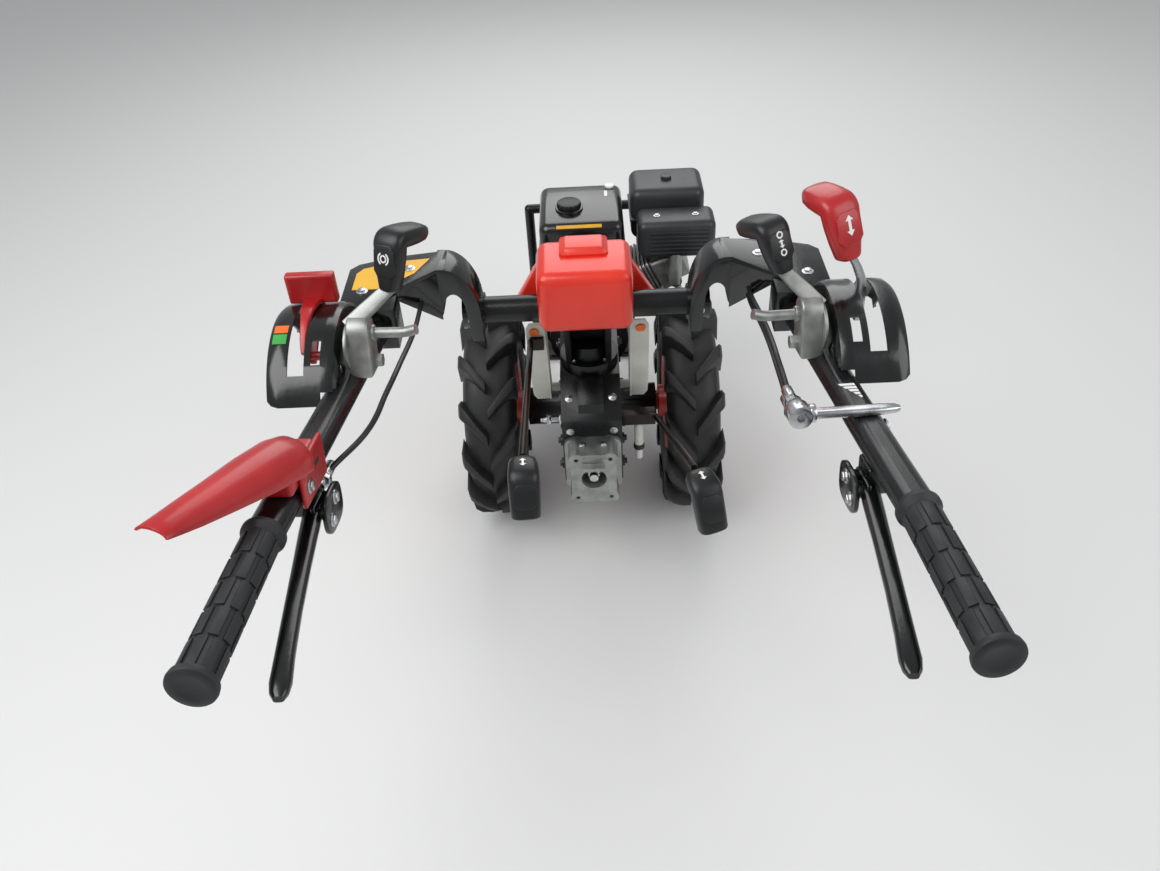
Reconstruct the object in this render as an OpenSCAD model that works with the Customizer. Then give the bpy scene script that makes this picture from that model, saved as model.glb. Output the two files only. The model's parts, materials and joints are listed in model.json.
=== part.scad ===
// Two-wheel hand tractor: engine in front, gearbox over the axle, splayed handlebars behind.
// +X right, +Y forward, +Z up. Origin on the ground, under the middle of the overall box.

/* [Overall] */
// From the axle back to the ends of the grips
rear_reach = 1300; // [1150:5:1450]
// From the axle forward to the face of the bumper
front_reach = 600; // [570:5:700]
// Half of the overall width, to the red lever tip and the right guard
half_width = 460; // [440:1:520]

/* [Wheels] */
// Tyre diameter over the lug tips
tyre_d = 505; // [480:1:530]
// Tyre width
tyre_w = 126; // [100:1:140]
// Rim diameter at the bead
rim_d = 254; // [220:1:280]
// Distance between the wheels' centre planes
track = 449; // [430:1:520]
// Lugs on each half of a tyre
lug_count = 13; // [10:1:14]
// Height of the lugs above the carcass
lug_h = 22; // [14:1:28]
// Axle shaft radius
axle_r = 20; // [15:1:24]

/* [Gearbox] */
// Width of the gear case
case_w = 124; // [100:1:130]
// Height of the case top above the ground
case_top = 490; // [460:1:520]
// Rear face of the case, back from the axle
case_back = 285; // [250:1:310]
// Front face of the case, ahead of the axle
case_front = 100; // [80:1:120]
// Power take-off height
pto_z = 325; // [310:1:350]
// Power take-off opening radius
pto_r = 26; // [20:1:30]

/* [Engine] */
// Crankshaft height
crank_z = 366; // [350:1:380]
// Engine base height
engine_base = 262; // [255:1:275]
// Length of the crankcase
engine_l = 210; // [190:1:230]
// Bell housing length
bell_len = 90; // [70:1:100]
// Lean of the cylinder above level
cylinder_lean = 25; // [15:1:35]
// Number of cooling fins
fin_count = 8; // [5:1:9]
// Tank top height
tank_top = 614; // [590:1:640]

/* [Column] */
// Crossbar axis, back from the axle
bar_back = 300; // [280:1:320]
// Crossbar axis height
bar_z = 720; // [690:1:760]
// Crossbar radius
bar_r = 25; // [20:1:27]
// Swivel axis, back from the axle
swivel_back = 155; // [140:1:170]
// Swivel pin radius
swivel_r = 25; // [18:1:28]
// Hood width
hood_w = 172; // [160:1:190]

/* [Handlebars] */
// From the widest point in to the handles at the shoulders
shoulder_in = 115; // [105:1:125]
// From the widest point in to the ends of the grips
grip_in = 77; // [65:1:90]
// Height of the grip ends
grip_end_z = 947; // [900:1:1000]
// Handle width
handle_w = 46; // [40:1:50]
// Handle height
handle_h = 34; // [30:1:38]
// Grip radius
grip_r = 22; // [19:1:24]
// Grip length
grip_l = 240; // [200:1:260]
// Radius of the lever guards
guard_r = 145; // [125:1:155]

/* [Stand] */
// Stand pivot, back from the face of the bumper
stand_in = 95; // [85:1:110]
// Stand pivot height
stand_z = 236; // [230:1:242]
// Stand tube radius
stand_r = 11; // [9:1:13]

/* [Hidden] */
$fn = 48;
hull_fn = 32;

// Finishes
black = "#1b1c1e";
rubber = "#222222";
red = "#d8281e";
silver = "#c4c6c8";
alloy = "#9fa2a4";
grey = "#4a4d50";
pale = "#c9c8c2";

// One overrun for all cuts, and the running and seating clearances
over = 2;
run_gap = 0.05;
seat_gap = 0.3;
wall = 3;

// Main places
axle_y = (rear_reach - front_reach) / 2;
stand_y = front_reach - stand_in;
shoulder_x = half_width - shoulder_in;
grip_end_x = half_width - grip_in;
axle_z = tyre_d / 2;
bell_y = case_front + bell_len;
fan_y = bell_y + engine_l;

// Axle and wheels
sleeve_r = 44;
sleeve_short = 74.5;
sleeve_end = track / 2 - sleeve_short;
sleeve_flange_r = 58;
sleeve_flange_t = 14;
axle_bore_len = 90;
hub_r = 38;
hub_gap = 6;
hub_in = sleeve_end + hub_gap;
hub_half = 25.5;
hub_out = track / 2 + hub_half;
rim_t = 5;
rim_lip = 13;
rim_lip_t = 4;
rim_half_w = 50;
disc_t = 8;
disc_offset = 14;
window_count = 5;
window_r = 17;
window_at = 84;
wheel_bolt_r = 8;
wheel_bolt_h = 9;
wheel_bolt_at = 54;
carcass_r = tyre_d / 2 - lug_h;
bead_gap = 0.1;
lug_w = 19;
lug_root = 12;
lug_inner_share = 0.03;
lug_outer_share = 0.46;
lug_sweep_share = 0.7;
lug_fall_share = 0.8;
tyre_fn = 40;
// Tyre section: across as shares of the width, up as shares from the bead to the carcass top
tyre_section_shares = [[-0.36, 0], [-0.36, 0.16], [-0.45, 0.24], [-0.49, 0.45], [-0.46, 0.72], [-0.37, 0.91],
    [-0.2, 0.98], [0.2, 0.98], [0.37, 0.91], [0.46, 0.72], [0.49, 0.45], [0.45, 0.24], [0.36, 0.16], [0.36, 0]];

// Gear case
case_low = 172;
case_shoulder_back = 205;
case_rear_top = 430;
case_rear_low = 270;
case_nose_drop = 30;
case_nose_low = 225;
case_belly_r = axle_z - case_low;
rib_w = 52;
rib_h = 18;
rib_clear = 6;
pin_h = 50;
case_boss_r = 12;
case_boss_t = 5;
case_bolt_r = 7;
case_bolt_t = 10;
// Bolts round the case's side faces: forward of the axle and up
case_bolts = [[-262, 300], [-264, 366], [-60, 470], [40, 470], [78, 420], [80, 320]];
pto_flange_t = 12;
pto_flange_lip = 12;
pto_w = 94;
pto_h = 130;
pto_l = 60;
pto_corner = 14;
pto_bore_len = 40;
pto_pcd_x = 70;
pto_pcd_z = 104;
pto_hole_r = 4.5;
pto_hole_l = 25;
pto_lip_t = 8;
pto_lip_l = 16;
pto_lip_w = 46;
spline_r = 12.5;
spline_count = 6;
spline_w = 3;
spline_depth = 2.5;
spline_l = 24;
pilot_r = 9;
pilot_l = 14;

// Engine
bell_r0 = 92;
bell_r1 = 112;
bell_flange_t = 14;
crankcase_left = 130;
crankcase_right = 100;
crankcase_h = 190;
crankcase_corner = 22;
foot_w = 190;
foot_h = 20;
cylinder_y = bell_y + engine_l / 2;
barrel_from = 60;
fin_from = 118;
fin_pitch = 9;
fin_t = 3.2;
fin_w = 130;
fin_h = 104;
fin_corner = 16;
barrel_w = 96;
barrel_h = 82;
head_l = 46;
head_w = 120;
head_h = 86;
head_corner = 12;
rocker_l = 26;
rocker_w = 96;
rocker_h = 74;
plug_r = 9;
plug_l = 42;
fan_r = 120;
fan_l = 70;
fan_corner = 16;
recoil_r = 80;
recoil_l = 58;
recoil_dome = 24;
louvre_count = 12;
louvre_w = 9;
louvre_in_share = 0.45;
louvre_out_share = 0.82;
louvre_depth = 8;
pull_w = 86;
pull_r = 11;
tank_left = 107;
tank_right = 92;
tank_back = 205;
tank_front = 420;
tank_low = 492;
tank_round = 22;
seam_z = 544;
seam_t = 5;
seam_lip = 4;
tank_foot_r = 10;
tank_foot_in = 30;
cap_r = 27;
cap_h = 18;
cap_x = -35;
cap_y = 290;
cap_ribs = 8;
cap_rib_r = 4;
cleaner_left = 112;
cleaner_right = 288;
cleaner_back = 302;
cleaner_front = 436;
cleaner_low = 512;
cleaner_top = 642;
lid_z = 568;
box_round = 16;
muffler_left = 124;
muffler_right = 306;
muffler_back = 205;
muffler_front = 300;
muffler_low = 512;
muffler_top = 606;
muffler_louvre_count = 5;
muffler_louvre_w = 70;
muffler_louvre_h = 5;
muffler_louvre_pitch = 12;
muffler_louvre_depth = 3;
exhaust_r = 15;
exhaust_y = cylinder_y - head_w / 2 - exhaust_r;
carb_l = 42;
carb_w = 56;
carb_h = 50;
carb_pipe_r = 17;
bowl_r = 20;
bowl_h = 34;

// Engine frame, bumper and stand
bumper_r = 12.5;
rail_in = case_w / 2;
rail_w = 36;
rail_h = 40;
rail_t = 6;
rail_back = sleeve_flange_r + hub_gap;
rail_front = front_reach - 2 * bumper_r;
plate_t = 8;
bumper_half = 150;
bumper_top = crank_z + recoil_r + bumper_r + rib_clear;
bumper_low = 242;
bumper_y = front_reach - bumper_r;
pivot_r = 8;
eye_r = 15;
leg_in = 112;
leg_w = 16;
foot_forward = 35;
stop_t = 8;
stop_l = 16;
stop_drop = 14;
pivot_head = 4;

// Column, hood and rods
turn_r = 60;
turn_h = 26;
boss_r = 40;
boss_h = 56;
cheek_in = 34;
cheek_t = 12;
cheek_foot = 46;
cheek_head = 34;
bearing_r = 36;
bearing_half = hood_w / 2 - wall - seat_gap;
web_t = 8;
hood_back = 62;
hood_front = 66;
hood_top = 826;
hood_low = 698;
hood_round = 18;
skirt_half = 134;
skirt_rise = 28;
skirt_l = 30;
skirt_drop = 20;
skirt_top_half = 78;
notch_gap = 6;
bump_half = 46;
bump_h = 10;
bump_l = 62;
sideplate_in = 84;
sideplate_boss_r = 9;
sideplate_boss_z = 452;
sideplate_boss_y = -190;
sideplate_t = 4;
sideplate_w = 52;
sideplate_z = 662;
sideplate_lean = 120;
rod_r = 6;
// Ends of the two control rods: low end at the case, high end at the knob
gear_rod_low = [-112, -252, 612];
gear_rod_high = [-102, -745, 737];
pto_rod_low = [132, -255, 415];
pto_rod_high = [160, -742, 700];
lug_plate_w = 26;
// Corners of the two knobs: at the rod, at the crown and at the lower end
gear_knob_path = [gear_rod_high, [-98, -785, 742], [-98, -808, 692]];
pto_knob_path = [pto_rod_high, [172, -775, 695], [181, -798, 640]];
rod_knob_w = 48;

// Handlebars
collar_in = 186;
collar_l = 40;
collar_r = 33;
bar_half = collar_in + collar_l;
bar_wall = 4;
shoulder_z = 800;
// Pressed shoulder, seen from behind: a rounded ear, a crease and an arch between two feet
skew_low = 750;
ear_mid = [246, 748];
ear_rx = 60;
ear_rz = 102;
crease_x = 258;
foot_x = 206;
foot_z = 700;
arch_mid = [231, 762];
arch_rx = 20;
arch_rz = 38;
ear_step_angle = 7.5;
arch_step_angle = 15;
shoulder_outline = concat([[ear_mid[0] - ear_rx, foot_z]],
    [for (a = [180 : -ear_step_angle : 90]) [ear_mid[0] + ear_rx * cos(a), ear_mid[1] + ear_rz * sin(a)]],
    [[crease_x, ear_mid[1] + ear_rz], [crease_x, skew_low]],
    [for (a = [0 : arch_step_angle : 180]) [arch_mid[0] + arch_rx * cos(a), arch_mid[1] + arch_rz * sin(a)]],
    [[foot_x, foot_z]]);
shoulder_rear = 371;
shoulder_front = 301;
shoulder_wall = 6;
// Top plate, seen from above, and the tapering wall under its slanted edge
// The plate's inner corners stay with the ear, and its outer corners follow the handle
plate_inner = [[240, -371], [240, -304], [255, -371]];
plate_outer = [[-15, -318], [45, -340], [59, -356], [59, -482], [51, -489], [35, -489]];
plate_outline = concat([plate_inner[0], plate_inner[1]], [for (p = plate_outer) [shoulder_x + p[0], p[1]]],
    [plate_inner[2]]);
skew_a = [255, -371];
skew_l = 99;
skew_angle = -39.7;
shoulder_back = 450;
plate_z = 842;
plate_top_t = 8;
plate_skirt = 14;
plate_back = 492;
plate_corner = 14;
saddle_w = 60;
saddle_l = 60;
grip_slope_share = 0.115;
grip_start_back = rear_reach - grip_l;
grip_start_z = grip_end_z - grip_l * grip_slope_share;
grip_start_x = grip_end_x - (grip_end_x - shoulder_x) * grip_l / (rear_reach - shoulder_back);
handle_a = [shoulder_x, -shoulder_back, shoulder_z];
handle_b = [grip_start_x, -grip_start_back, grip_start_z];
grip_a = handle_b;
grip_end = [grip_end_x, -rear_reach, grip_end_z];
grip_u = (grip_end - handle_b) / norm(grip_end - handle_b);
handle_l = norm(handle_b - handle_a);
core_r = 14;
core_l = 200;
flange_r = 27;
flange_t = 9;
// The tilted end disc still ends at the rear reach
grip_b = grip_end + [0, flange_r * sqrt(1 - grip_u[1] * grip_u[1]), 0];

// The frame of a handle: down, outward, along
handle_u = (handle_b - handle_a) / handle_l;
handle_turn = atan2(handle_u[1], handle_u[0]);
handle_tip = acos(handle_u[2]);
handle_down = [cos(handle_tip) * cos(handle_turn), cos(handle_tip) * sin(handle_turn), -sin(handle_tip)];
handle_out = [-sin(handle_turn), cos(handle_turn), 0];
function handle_point(p) = handle_a + p[0] * handle_down + p[1] * handle_out + p[2] * handle_u;
stadium_gap = 0.02;

// Guards, with angles about their own axis
guard_back = 627;
guard_z = 785;
guard_w = 102;
guard_in = half_width - guard_w;
guard_from_angle = 112;
guard_sweep_angle = 127;
guard_hub_r = 58;
guard_lip_r = guard_r - 34;
slot_in = 50;
slot_x = guard_in + slot_in;
slot_w = 24;
slot_from_angle = 126;
slot_sweep_angle = 96;
oval_in = 28;
oval_x = guard_in + oval_in;
oval_w = 14;
oval_from_angle = 199;
oval_sweep_angle = 17;

// Controls
lever_stem_w = 16;
lever_stem_t = 8;
lever_pin_r = 7;
clutch_low = [slot_x, -640, 870];
clutch_high = [slot_x, -568, 930];
shift_low = [slot_x, -618, 880];
shift_bend = [slot_x, -612, 950];
// Corners of the lever knobs, outward from the shoulder: at the stem, at the crown and at the front end
shift_corners = [[38, -608, 985], [21, -588, 1058], [-5, -542, 1054]];
brake_corners = [[-66, -613, 975], [-74, -594, 1042], [-105, -542, 1022]];
throttle_corners = [[-56, -613, 975], [-73, -594, 1030], [-99, -545, 1005]];
shift_path = [for (p = shift_corners) [shoulder_x + p[0], p[1], p[2]]];
brake_path = [for (p = brake_corners) [shoulder_x + p[0], p[1], p[2]]];
throttle_path = [for (p = throttle_corners) [shoulder_x + p[0], p[1], p[2]]];
knob_r = 12.5;
knob_taper_share = 0.7;
shift_knob_w = 54;
arm_knob_w = 46;
block_at = 190;
block_l = 44;
block_in = 5;
block_w = 36;
block_up = 98;
block_disc_r = 36;
block_disc_t = 6;
block_disc_up = 52;
block_pin_r = 7;
block_pin_l = 68;
block_pin_up = 72;
block_bolt_r = 9;
block_bolt_l = 12;
block_bolt_up = 28;
arm_w = 26;
arm_t = 7;
bracket_back = 156;
hand_at = handle_l - bracket_back;
bracket_l = 44;
bracket_w = 30;
bracket_h = 38;
bracket_in = 10;
lever_w = 20;
lever_h = 12;
lever_wall = 2.5;
lever_lap = 22;
lever_past = 186;
lever_start = [44, -14, hand_at + lever_lap];
lever_end = [72, -60, handle_l + lever_past];
clamp_back = 196;
clamp_at = handle_l - clamp_back;
clamp_arm_l = 66;
clamp_arm_w = 14;
clamp_arm_t = 6;
clamp_arm_out = 20;
clamp_r = 16;
clamp_l = 26;
red_back = 152;
red_l = 108;
red_w = 44;
red_base_h = 14;
red_pipe_r = 40;
red_pipe_wall = 4;
red_cap_t = 8;
red_pipe_share = 0.62;
red_from = handle_point([-handle_h / 2 - red_base_h, 0, handle_l - red_back + red_l / 2]);
red_to = [half_width - red_pipe_r * red_pipe_share / 2, -1150, 1006];
paddle_w = 74;
paddle_h = 40;
paddle_t = 16;
cable_r = 4;
cable_sides = 10;
// Cables start on the shoulder's slanted wall and end square on the piece that holds them
cable_gap = 14;
clamp_face = handle_point([-handle_h / 2 - clamp_arm_t, -handle_w / 2 - clamp_arm_l, clamp_at - clamp_l / 2]);
bracket_face = handle_point([handle_h / 2 + bracket_h / 2, -bracket_w / 2, hand_at]);
cable_lead = 30;
cable_right_inner = concat([[281, -400.2, 806], [281, -425, 808], [284, -490, 818], [281, -560, 842], [277, -650, 868],
    [274, -740, 884]], [clamp_face - (cable_lead + seat_gap) * handle_u, clamp_face - seat_gap * handle_u]);
cable_right_outer = [for (p = cable_right_inner) p + [0, 0, -cable_gap]];
cable_left_route = concat([[281, -400.2, 806], [281, -425, 808], [279, -490, 818], [276, -560, 838], [276, -650, 862],
    [284, -740, 872], [300, -820, 868]],
    [bracket_face - (cable_lead + seat_gap) * handle_u, bracket_face - seat_gap * handle_u]);

// Shapes that repeat

module at_axle() translate([0, axle_y, 0]) children();

module on_side(side) mirror([side < 0 ? 1 : 0, 0, 0]) children();

module round_rect(w, h, r) {
    square([w - 2 * r, h], center = true);
    square([w, h - 2 * r], center = true);
    for (x = [-1, 1], y = [-1, 1])
        translate([x * (w / 2 - r), y * (h / 2 - r)]) circle(r);
}

module x_rod(r, x0, x1) translate([x0, 0, 0]) rotate([0, 90, 0]) cylinder(r = r, h = x1 - x0);

module y_rod(r, y0, y1) translate([0, y0, 0]) rotate([-90, 0, 0]) cylinder(r = r, h = y1 - y0);

// Turns +Z onto the line from a to b, with local x downward for a level line
module along(a, b) {
    v = b - a;
    translate(a) rotate([0, acos(v[2] / norm(v)), atan2(v[1], v[0])]) children();
}

module rod_between(a, b, r) along(a, b) cylinder(r = r, h = norm(b - a));

// A side view, drawn with x forward and y up, as thick as w about the middle plane
module side_slab(w, x = 0) translate([x, 0, 0]) rotate([90, 0, 90])
    linear_extrude(height = w, center = true) children();

module soft_box(x0, x1, y0, y1, z0, z1, r) hull()
    for (x = [x0 + r, x1 - r], y = [y0 + r, y1 - r], z = [z0 + r, z1 - r])
        translate([x, y, z]) sphere(r, $fn = 20);

module on_handle(at = 0) along(handle_a, handle_b) translate([0, 0, at]) children();

// Chassis

module gear_case_outline() {
    polygon([[-case_back, case_rear_low], [-case_back, case_rear_top], [-case_shoulder_back, case_top],
        [case_front - case_nose_drop, case_top], [case_front, case_top - case_nose_drop],
        [case_front, case_nose_low], [0, case_low], [-case_belly_r, axle_z - case_belly_r / 2]]);
    translate([0, axle_z]) circle(case_belly_r);
}

module gearbox() color(black) at_axle() difference() {
    union() {
        side_slab(case_w) gear_case_outline();
        intersection() {
            side_slab(rib_w) offset(delta = rib_h) gear_case_outline();
            translate([-rib_w / 2, -case_back + pto_lip_l - over, case_rear_top - rib_h])
                cube([rib_w, case_back - pto_lip_l - swivel_back - turn_r - rib_clear, case_top]);
        }
        translate([0, 0, axle_z]) {
            x_rod(sleeve_r, -sleeve_end, sleeve_end);
            for (side = [-1, 1])
                x_rod(sleeve_flange_r, side * case_w / 2 - (side < 0 ? sleeve_flange_t : 0),
                    side * case_w / 2 + (side < 0 ? 0 : sleeve_flange_t));
        }
        translate([0, -swivel_back, case_top]) cylinder(r = swivel_r, h = pin_h);
        for (side = [-1, 1], p = case_bolts) on_side(side) translate([0, p[0], p[1]]) {
            x_rod(case_boss_r, case_w / 2 - case_boss_t, case_w / 2 + case_boss_t);
            x_rod(case_bolt_r, case_w / 2, case_w / 2 + case_bolt_t, $fn = 6);
        }
    }
    for (side = [-1, 1]) on_side(side) translate([0, 0, axle_z])
        x_rod(axle_r + run_gap, sleeve_end - axle_bore_len, sleeve_end + over);
}

module pto_housing() color(alloy) at_axle() translate([0, -case_back, pto_z]) difference() {
    union() {
        rotate([90, 0, 0]) linear_extrude(height = pto_l) round_rect(pto_w, pto_h, pto_corner);
        rotate([90, 0, 0]) linear_extrude(height = pto_flange_t)
            round_rect(pto_w + 2 * pto_flange_lip, pto_h, pto_corner);
        for (x = [-1, 1], z = [-1, 1]) translate([x * pto_pcd_x / 2, 0, z * pto_pcd_z / 2])
            y_rod(pto_corner + over, -pto_l, 0);
        translate([-pto_lip_w / 2, -pto_l - pto_lip_l, pto_r + pto_lip_t])
            cube([pto_lip_w, pto_lip_l, pto_lip_t]);
    }
    y_rod(pto_r, -pto_l - over, -pto_l + pto_bore_len);
    for (x = [-1, 1], z = [-1, 1]) translate([x * pto_pcd_x / 2, 0, z * pto_pcd_z / 2])
        y_rod(pto_hole_r, -pto_l - over, -pto_l + pto_hole_l);
}

module pto_shaft() color(silver) at_axle() translate([0, -case_back - pto_l + pto_bore_len, pto_z]) {
    difference() {
        y_rod(spline_r, -spline_l, 0);
        for (i = [0 : spline_count - 1]) rotate([0, i * 360 / spline_count, 0])
            translate([spline_r - spline_depth, -spline_l - over, -spline_w / 2])
                cube([spline_depth + over, spline_l, spline_w]);
    }
    y_rod(pilot_r, -spline_l - pilot_l, 0);
}

module bell_housing() color(black) at_axle() translate([0, case_front, crank_z]) rotate([-90, 0, 0])
    rotate_extrude() polygon([[0, 0], [bell_r0, 0], [bell_r1 - bell_flange_t, bell_len - bell_flange_t],
        [bell_r1, bell_len - bell_flange_t], [bell_r1, bell_len], [0, bell_len]]);

module crankcase() translate([(crankcase_right - crankcase_left) / 2, bell_y, engine_base + crankcase_h / 2])
    rotate([-90, 0, 0]) linear_extrude(height = engine_l)
        round_rect(crankcase_left + crankcase_right, crankcase_h, crankcase_corner);

module engine_block() color(alloy) at_axle() union() {
    crankcase();
    translate([-foot_w / 2, bell_y, engine_base]) cube([foot_w, engine_l, foot_h]);
}

// The cylinder's own frame: z along its axis from the crankshaft
module cylinder_frame() translate([0, cylinder_y, crank_z]) rotate([0, 90 - cylinder_lean, 0]) children();

fin_end = fin_from + fin_count * fin_pitch;

module cylinder_head() color(alloy) at_axle() difference() {
    cylinder_frame() {
        translate([0, 0, barrel_from]) linear_extrude(height = fin_end - barrel_from)
            round_rect(barrel_h, barrel_w, head_corner);
        for (i = [0 : fin_count - 1]) translate([0, 0, fin_from + i * fin_pitch])
            linear_extrude(height = fin_t) round_rect(fin_h, fin_w, fin_corner);
        translate([0, 0, fin_end]) linear_extrude(height = head_l) round_rect(head_h, head_w, head_corner);
        translate([0, 0, fin_end + head_l]) linear_extrude(height = rocker_l)
            round_rect(rocker_h, rocker_w, head_corner);
        translate([head_h / 2, 0, fin_end + head_l / 2]) rotate([0, 90, 0]) cylinder(r = plug_r, h = plug_l);
    }
    crankcase();
}

// Middle of the head, where the inlet and exhaust join it
head_mid = fin_end + head_l / 2;
head_x = head_mid * cos(cylinder_lean);
head_z = crank_z + head_mid * sin(cylinder_lean);

module carburettor() color(silver) at_axle() translate([head_x, cylinder_y + head_w / 2, head_z]) {
    y_rod(carb_pipe_r, 0, carb_l);
    translate([0, carb_l + carb_h / 2, 0]) {
        translate([-carb_w / 2, -carb_h / 2, -carb_h / 2])
            cube([carb_w, carb_h, cleaner_low - head_z + carb_h / 2]);
        translate([0, 0, -carb_h / 2 - bowl_h]) cylinder(r = bowl_r, h = bowl_h);
    }
}

module air_cleaner() color(grey) at_axle() {
    soft_box(cleaner_left, cleaner_right, cleaner_back, cleaner_front, cleaner_low, cleaner_top, box_round);
    translate([(cleaner_left + cleaner_right) / 2, (cleaner_back + cleaner_front) / 2, lid_z])
        linear_extrude(height = seam_t)
            round_rect(cleaner_right - cleaner_left + seam_lip, cleaner_front - cleaner_back, box_round);
}

module muffler() color(grey) at_axle() {
    difference() {
        soft_box(muffler_left, muffler_right, muffler_back, muffler_front, muffler_low, muffler_top, box_round);
        for (i = [0 : muffler_louvre_count - 1])
            translate([muffler_right - box_round - muffler_louvre_w, muffler_back - over,
                muffler_low + box_round + i * muffler_louvre_pitch])
                cube([muffler_louvre_w, muffler_louvre_depth + over, muffler_louvre_h]);
    }
    translate([head_x, 0, head_z]) y_rod(exhaust_r, exhaust_y, cylinder_y - head_w / 2);
    translate([head_x, exhaust_y, head_z]) cylinder(r = exhaust_r, h = muffler_low + box_round - head_z);
}

module fan_shroud() color(red) at_axle() translate([0, fan_y, crank_z]) rotate([-90, 0, 0]) {
    rotate_extrude() polygon([[0, 0], [fan_r, 0], [fan_r, fan_l - fan_corner], [fan_r - fan_corner, fan_l],
        [0, fan_l]]);
}

module recoil_starter() color(black) at_axle() translate([0, fan_y + fan_l, crank_z]) {
    difference() {
        rotate([-90, 0, 0]) rotate_extrude() polygon([[0, 0], [recoil_r, 0], [recoil_r, recoil_l - recoil_dome],
            [recoil_r - recoil_dome, recoil_l], [0, recoil_l]]);
        for (i = [0 : louvre_count - 1]) rotate([0, i * 360 / louvre_count, 0])
            translate([recoil_r * louvre_in_share, recoil_l - recoil_dome - louvre_depth, -louvre_w / 2])
                cube([recoil_r * (louvre_out_share - louvre_in_share), recoil_dome + louvre_depth + over, louvre_w]);
    }
    translate([-recoil_r - pull_r / 2, recoil_l - recoil_dome - pull_r, 0])
        cylinder(r = pull_r, h = pull_w, center = true);
}

module fuel_tank() color(black) at_axle() {
    soft_box(-tank_left, tank_right, tank_back, tank_front, tank_low, tank_top, tank_round);
    translate([(tank_right - tank_left) / 2, (tank_back + tank_front) / 2, seam_z]) linear_extrude(height = seam_t)
        round_rect(tank_right + tank_left + 2 * seam_lip, tank_front - tank_back + 2 * seam_lip, tank_round);
    for (x = [-tank_left + tank_foot_in, tank_right - tank_foot_in],
        y = [tank_back + tank_foot_in, fan_y - tank_foot_in])
        translate([x, y, engine_base + crankcase_h])
            cylinder(r = tank_foot_r, h = tank_low + tank_round - engine_base - crankcase_h);
}

module tank_cap() color(black) at_axle() translate([cap_x, cap_y, tank_top]) {
    cylinder(r = cap_r, h = cap_h);
    for (i = [0 : cap_ribs - 1]) rotate(i * 360 / cap_ribs)
        translate([cap_r, 0, 0]) cylinder(r = cap_rib_r, h = cap_h);
}

module engine_frame() color(black) at_axle() {
        for (side = [-1, 1]) on_side(side) {
            translate([rail_in, rail_back, engine_base - rail_h])
                cube([rail_t, rail_front - plate_t - rail_back, rail_h]);
            translate([rail_in, bell_y, engine_base - rail_t])
                cube([rail_w, rail_front - plate_t - bell_y, rail_t]);
            translate([0, stand_y, stand_z]) x_rod(pivot_r, rail_in, leg_in + leg_w + seat_gap);
            translate([0, stand_y, stand_z])
                x_rod(pivot_r + pivot_head, leg_in + leg_w + seat_gap, leg_in + leg_w + seat_gap + pivot_head);
            translate([rail_in, stand_y + stand_r + stop_l / 2, stand_z - stop_drop])
                cube([leg_in + leg_w - rail_in, stop_t, stop_t]);
        }
        translate([-rail_in - rail_w, rail_front - plate_t, engine_base - rail_h])
            cube([2 * (rail_in + rail_w), plate_t, rail_h]);
}

module bumper() color(black) at_axle() translate([0, bumper_y, 0]) {
    for (z = [bumper_low, bumper_top]) translate([0, 0, z]) x_rod(bumper_r, -bumper_half, bumper_half);
    for (side = [-1, 1]) translate([side * bumper_half, 0, bumper_low]) {
        cylinder(r = bumper_r, h = bumper_top - bumper_low);
        for (z = [0, bumper_top - bumper_low]) translate([0, 0, z]) sphere(bumper_r, $fn = 24);
    }
}

module side_plates() color(pale) at_axle() for (side = [-1, 1]) on_side(side) {
    translate([0, sideplate_boss_y, sideplate_boss_z]) x_rod(sideplate_boss_r, case_w / 2, sideplate_in);
    side_slab(sideplate_t, sideplate_in) polygon([
        [-case_shoulder_back, case_rear_top], [-case_shoulder_back + sideplate_w, case_rear_top],
        [-case_shoulder_back + sideplate_w - sideplate_lean / 2, sideplate_z],
        [-case_shoulder_back - sideplate_lean / 2, sideplate_z]]);
}

// A rod and the lug that holds its low end, standing out from a face at x
module control_rod(low, high, x) {
    rod_between(low, high, rod_r);
    on_side(sign(low[0])) translate([x, low[1] - lug_plate_w / 2, low[2] - lug_plate_w / 2])
        cube([abs(low[0]) - x, lug_plate_w, lug_plate_w]);
}

module gear_rod() color(silver) at_axle() difference() {
    control_rod(gear_rod_low, gear_rod_high, sideplate_in + sideplate_t / 2);
    bent_knob(gear_knob_path, rod_knob_w);
}

module gear_knob() color(black) at_axle() bent_knob(gear_knob_path, rod_knob_w);

module pto_rod() color(silver) at_axle() difference() {
    control_rod(pto_rod_low, pto_rod_high, case_w / 2);
    bent_knob(pto_knob_path, rod_knob_w);
}

module pto_knob() color(black) at_axle() bent_knob(pto_knob_path, rod_knob_w);

// Wheels

module tyre() color(rubber) at_axle() translate([track / 2, 0, axle_z]) rotate([0, 90, 0]) {
    r0 = (rim_d / 2 + bead_gap) / cos(180 / tyre_fn);
    rotate_extrude($fn = tyre_fn) polygon([for (p = tyre_section_shares)
        [r0 + p[1] * (carcass_r - r0), p[0] * tyre_w]]);
    for (half = [-1, 1], i = [0 : lug_count - 1])
        rotate((i + (half < 0 ? 0 : 0.5)) * 360 / lug_count) hull() {
            translate([carcass_r - lug_root, -lug_w / 2, half * tyre_w * lug_inner_share - lug_w / 4])
                cube([lug_root + lug_h, lug_w, lug_w / 2]);
            rotate(180 / lug_count * lug_sweep_share)
                translate([carcass_r - 2 * lug_root, -lug_w / 2, half * tyre_w * lug_outer_share - lug_w / 4])
                    cube([2 * lug_root + lug_h * lug_fall_share, lug_w, lug_w / 2]);
        }
}

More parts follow.
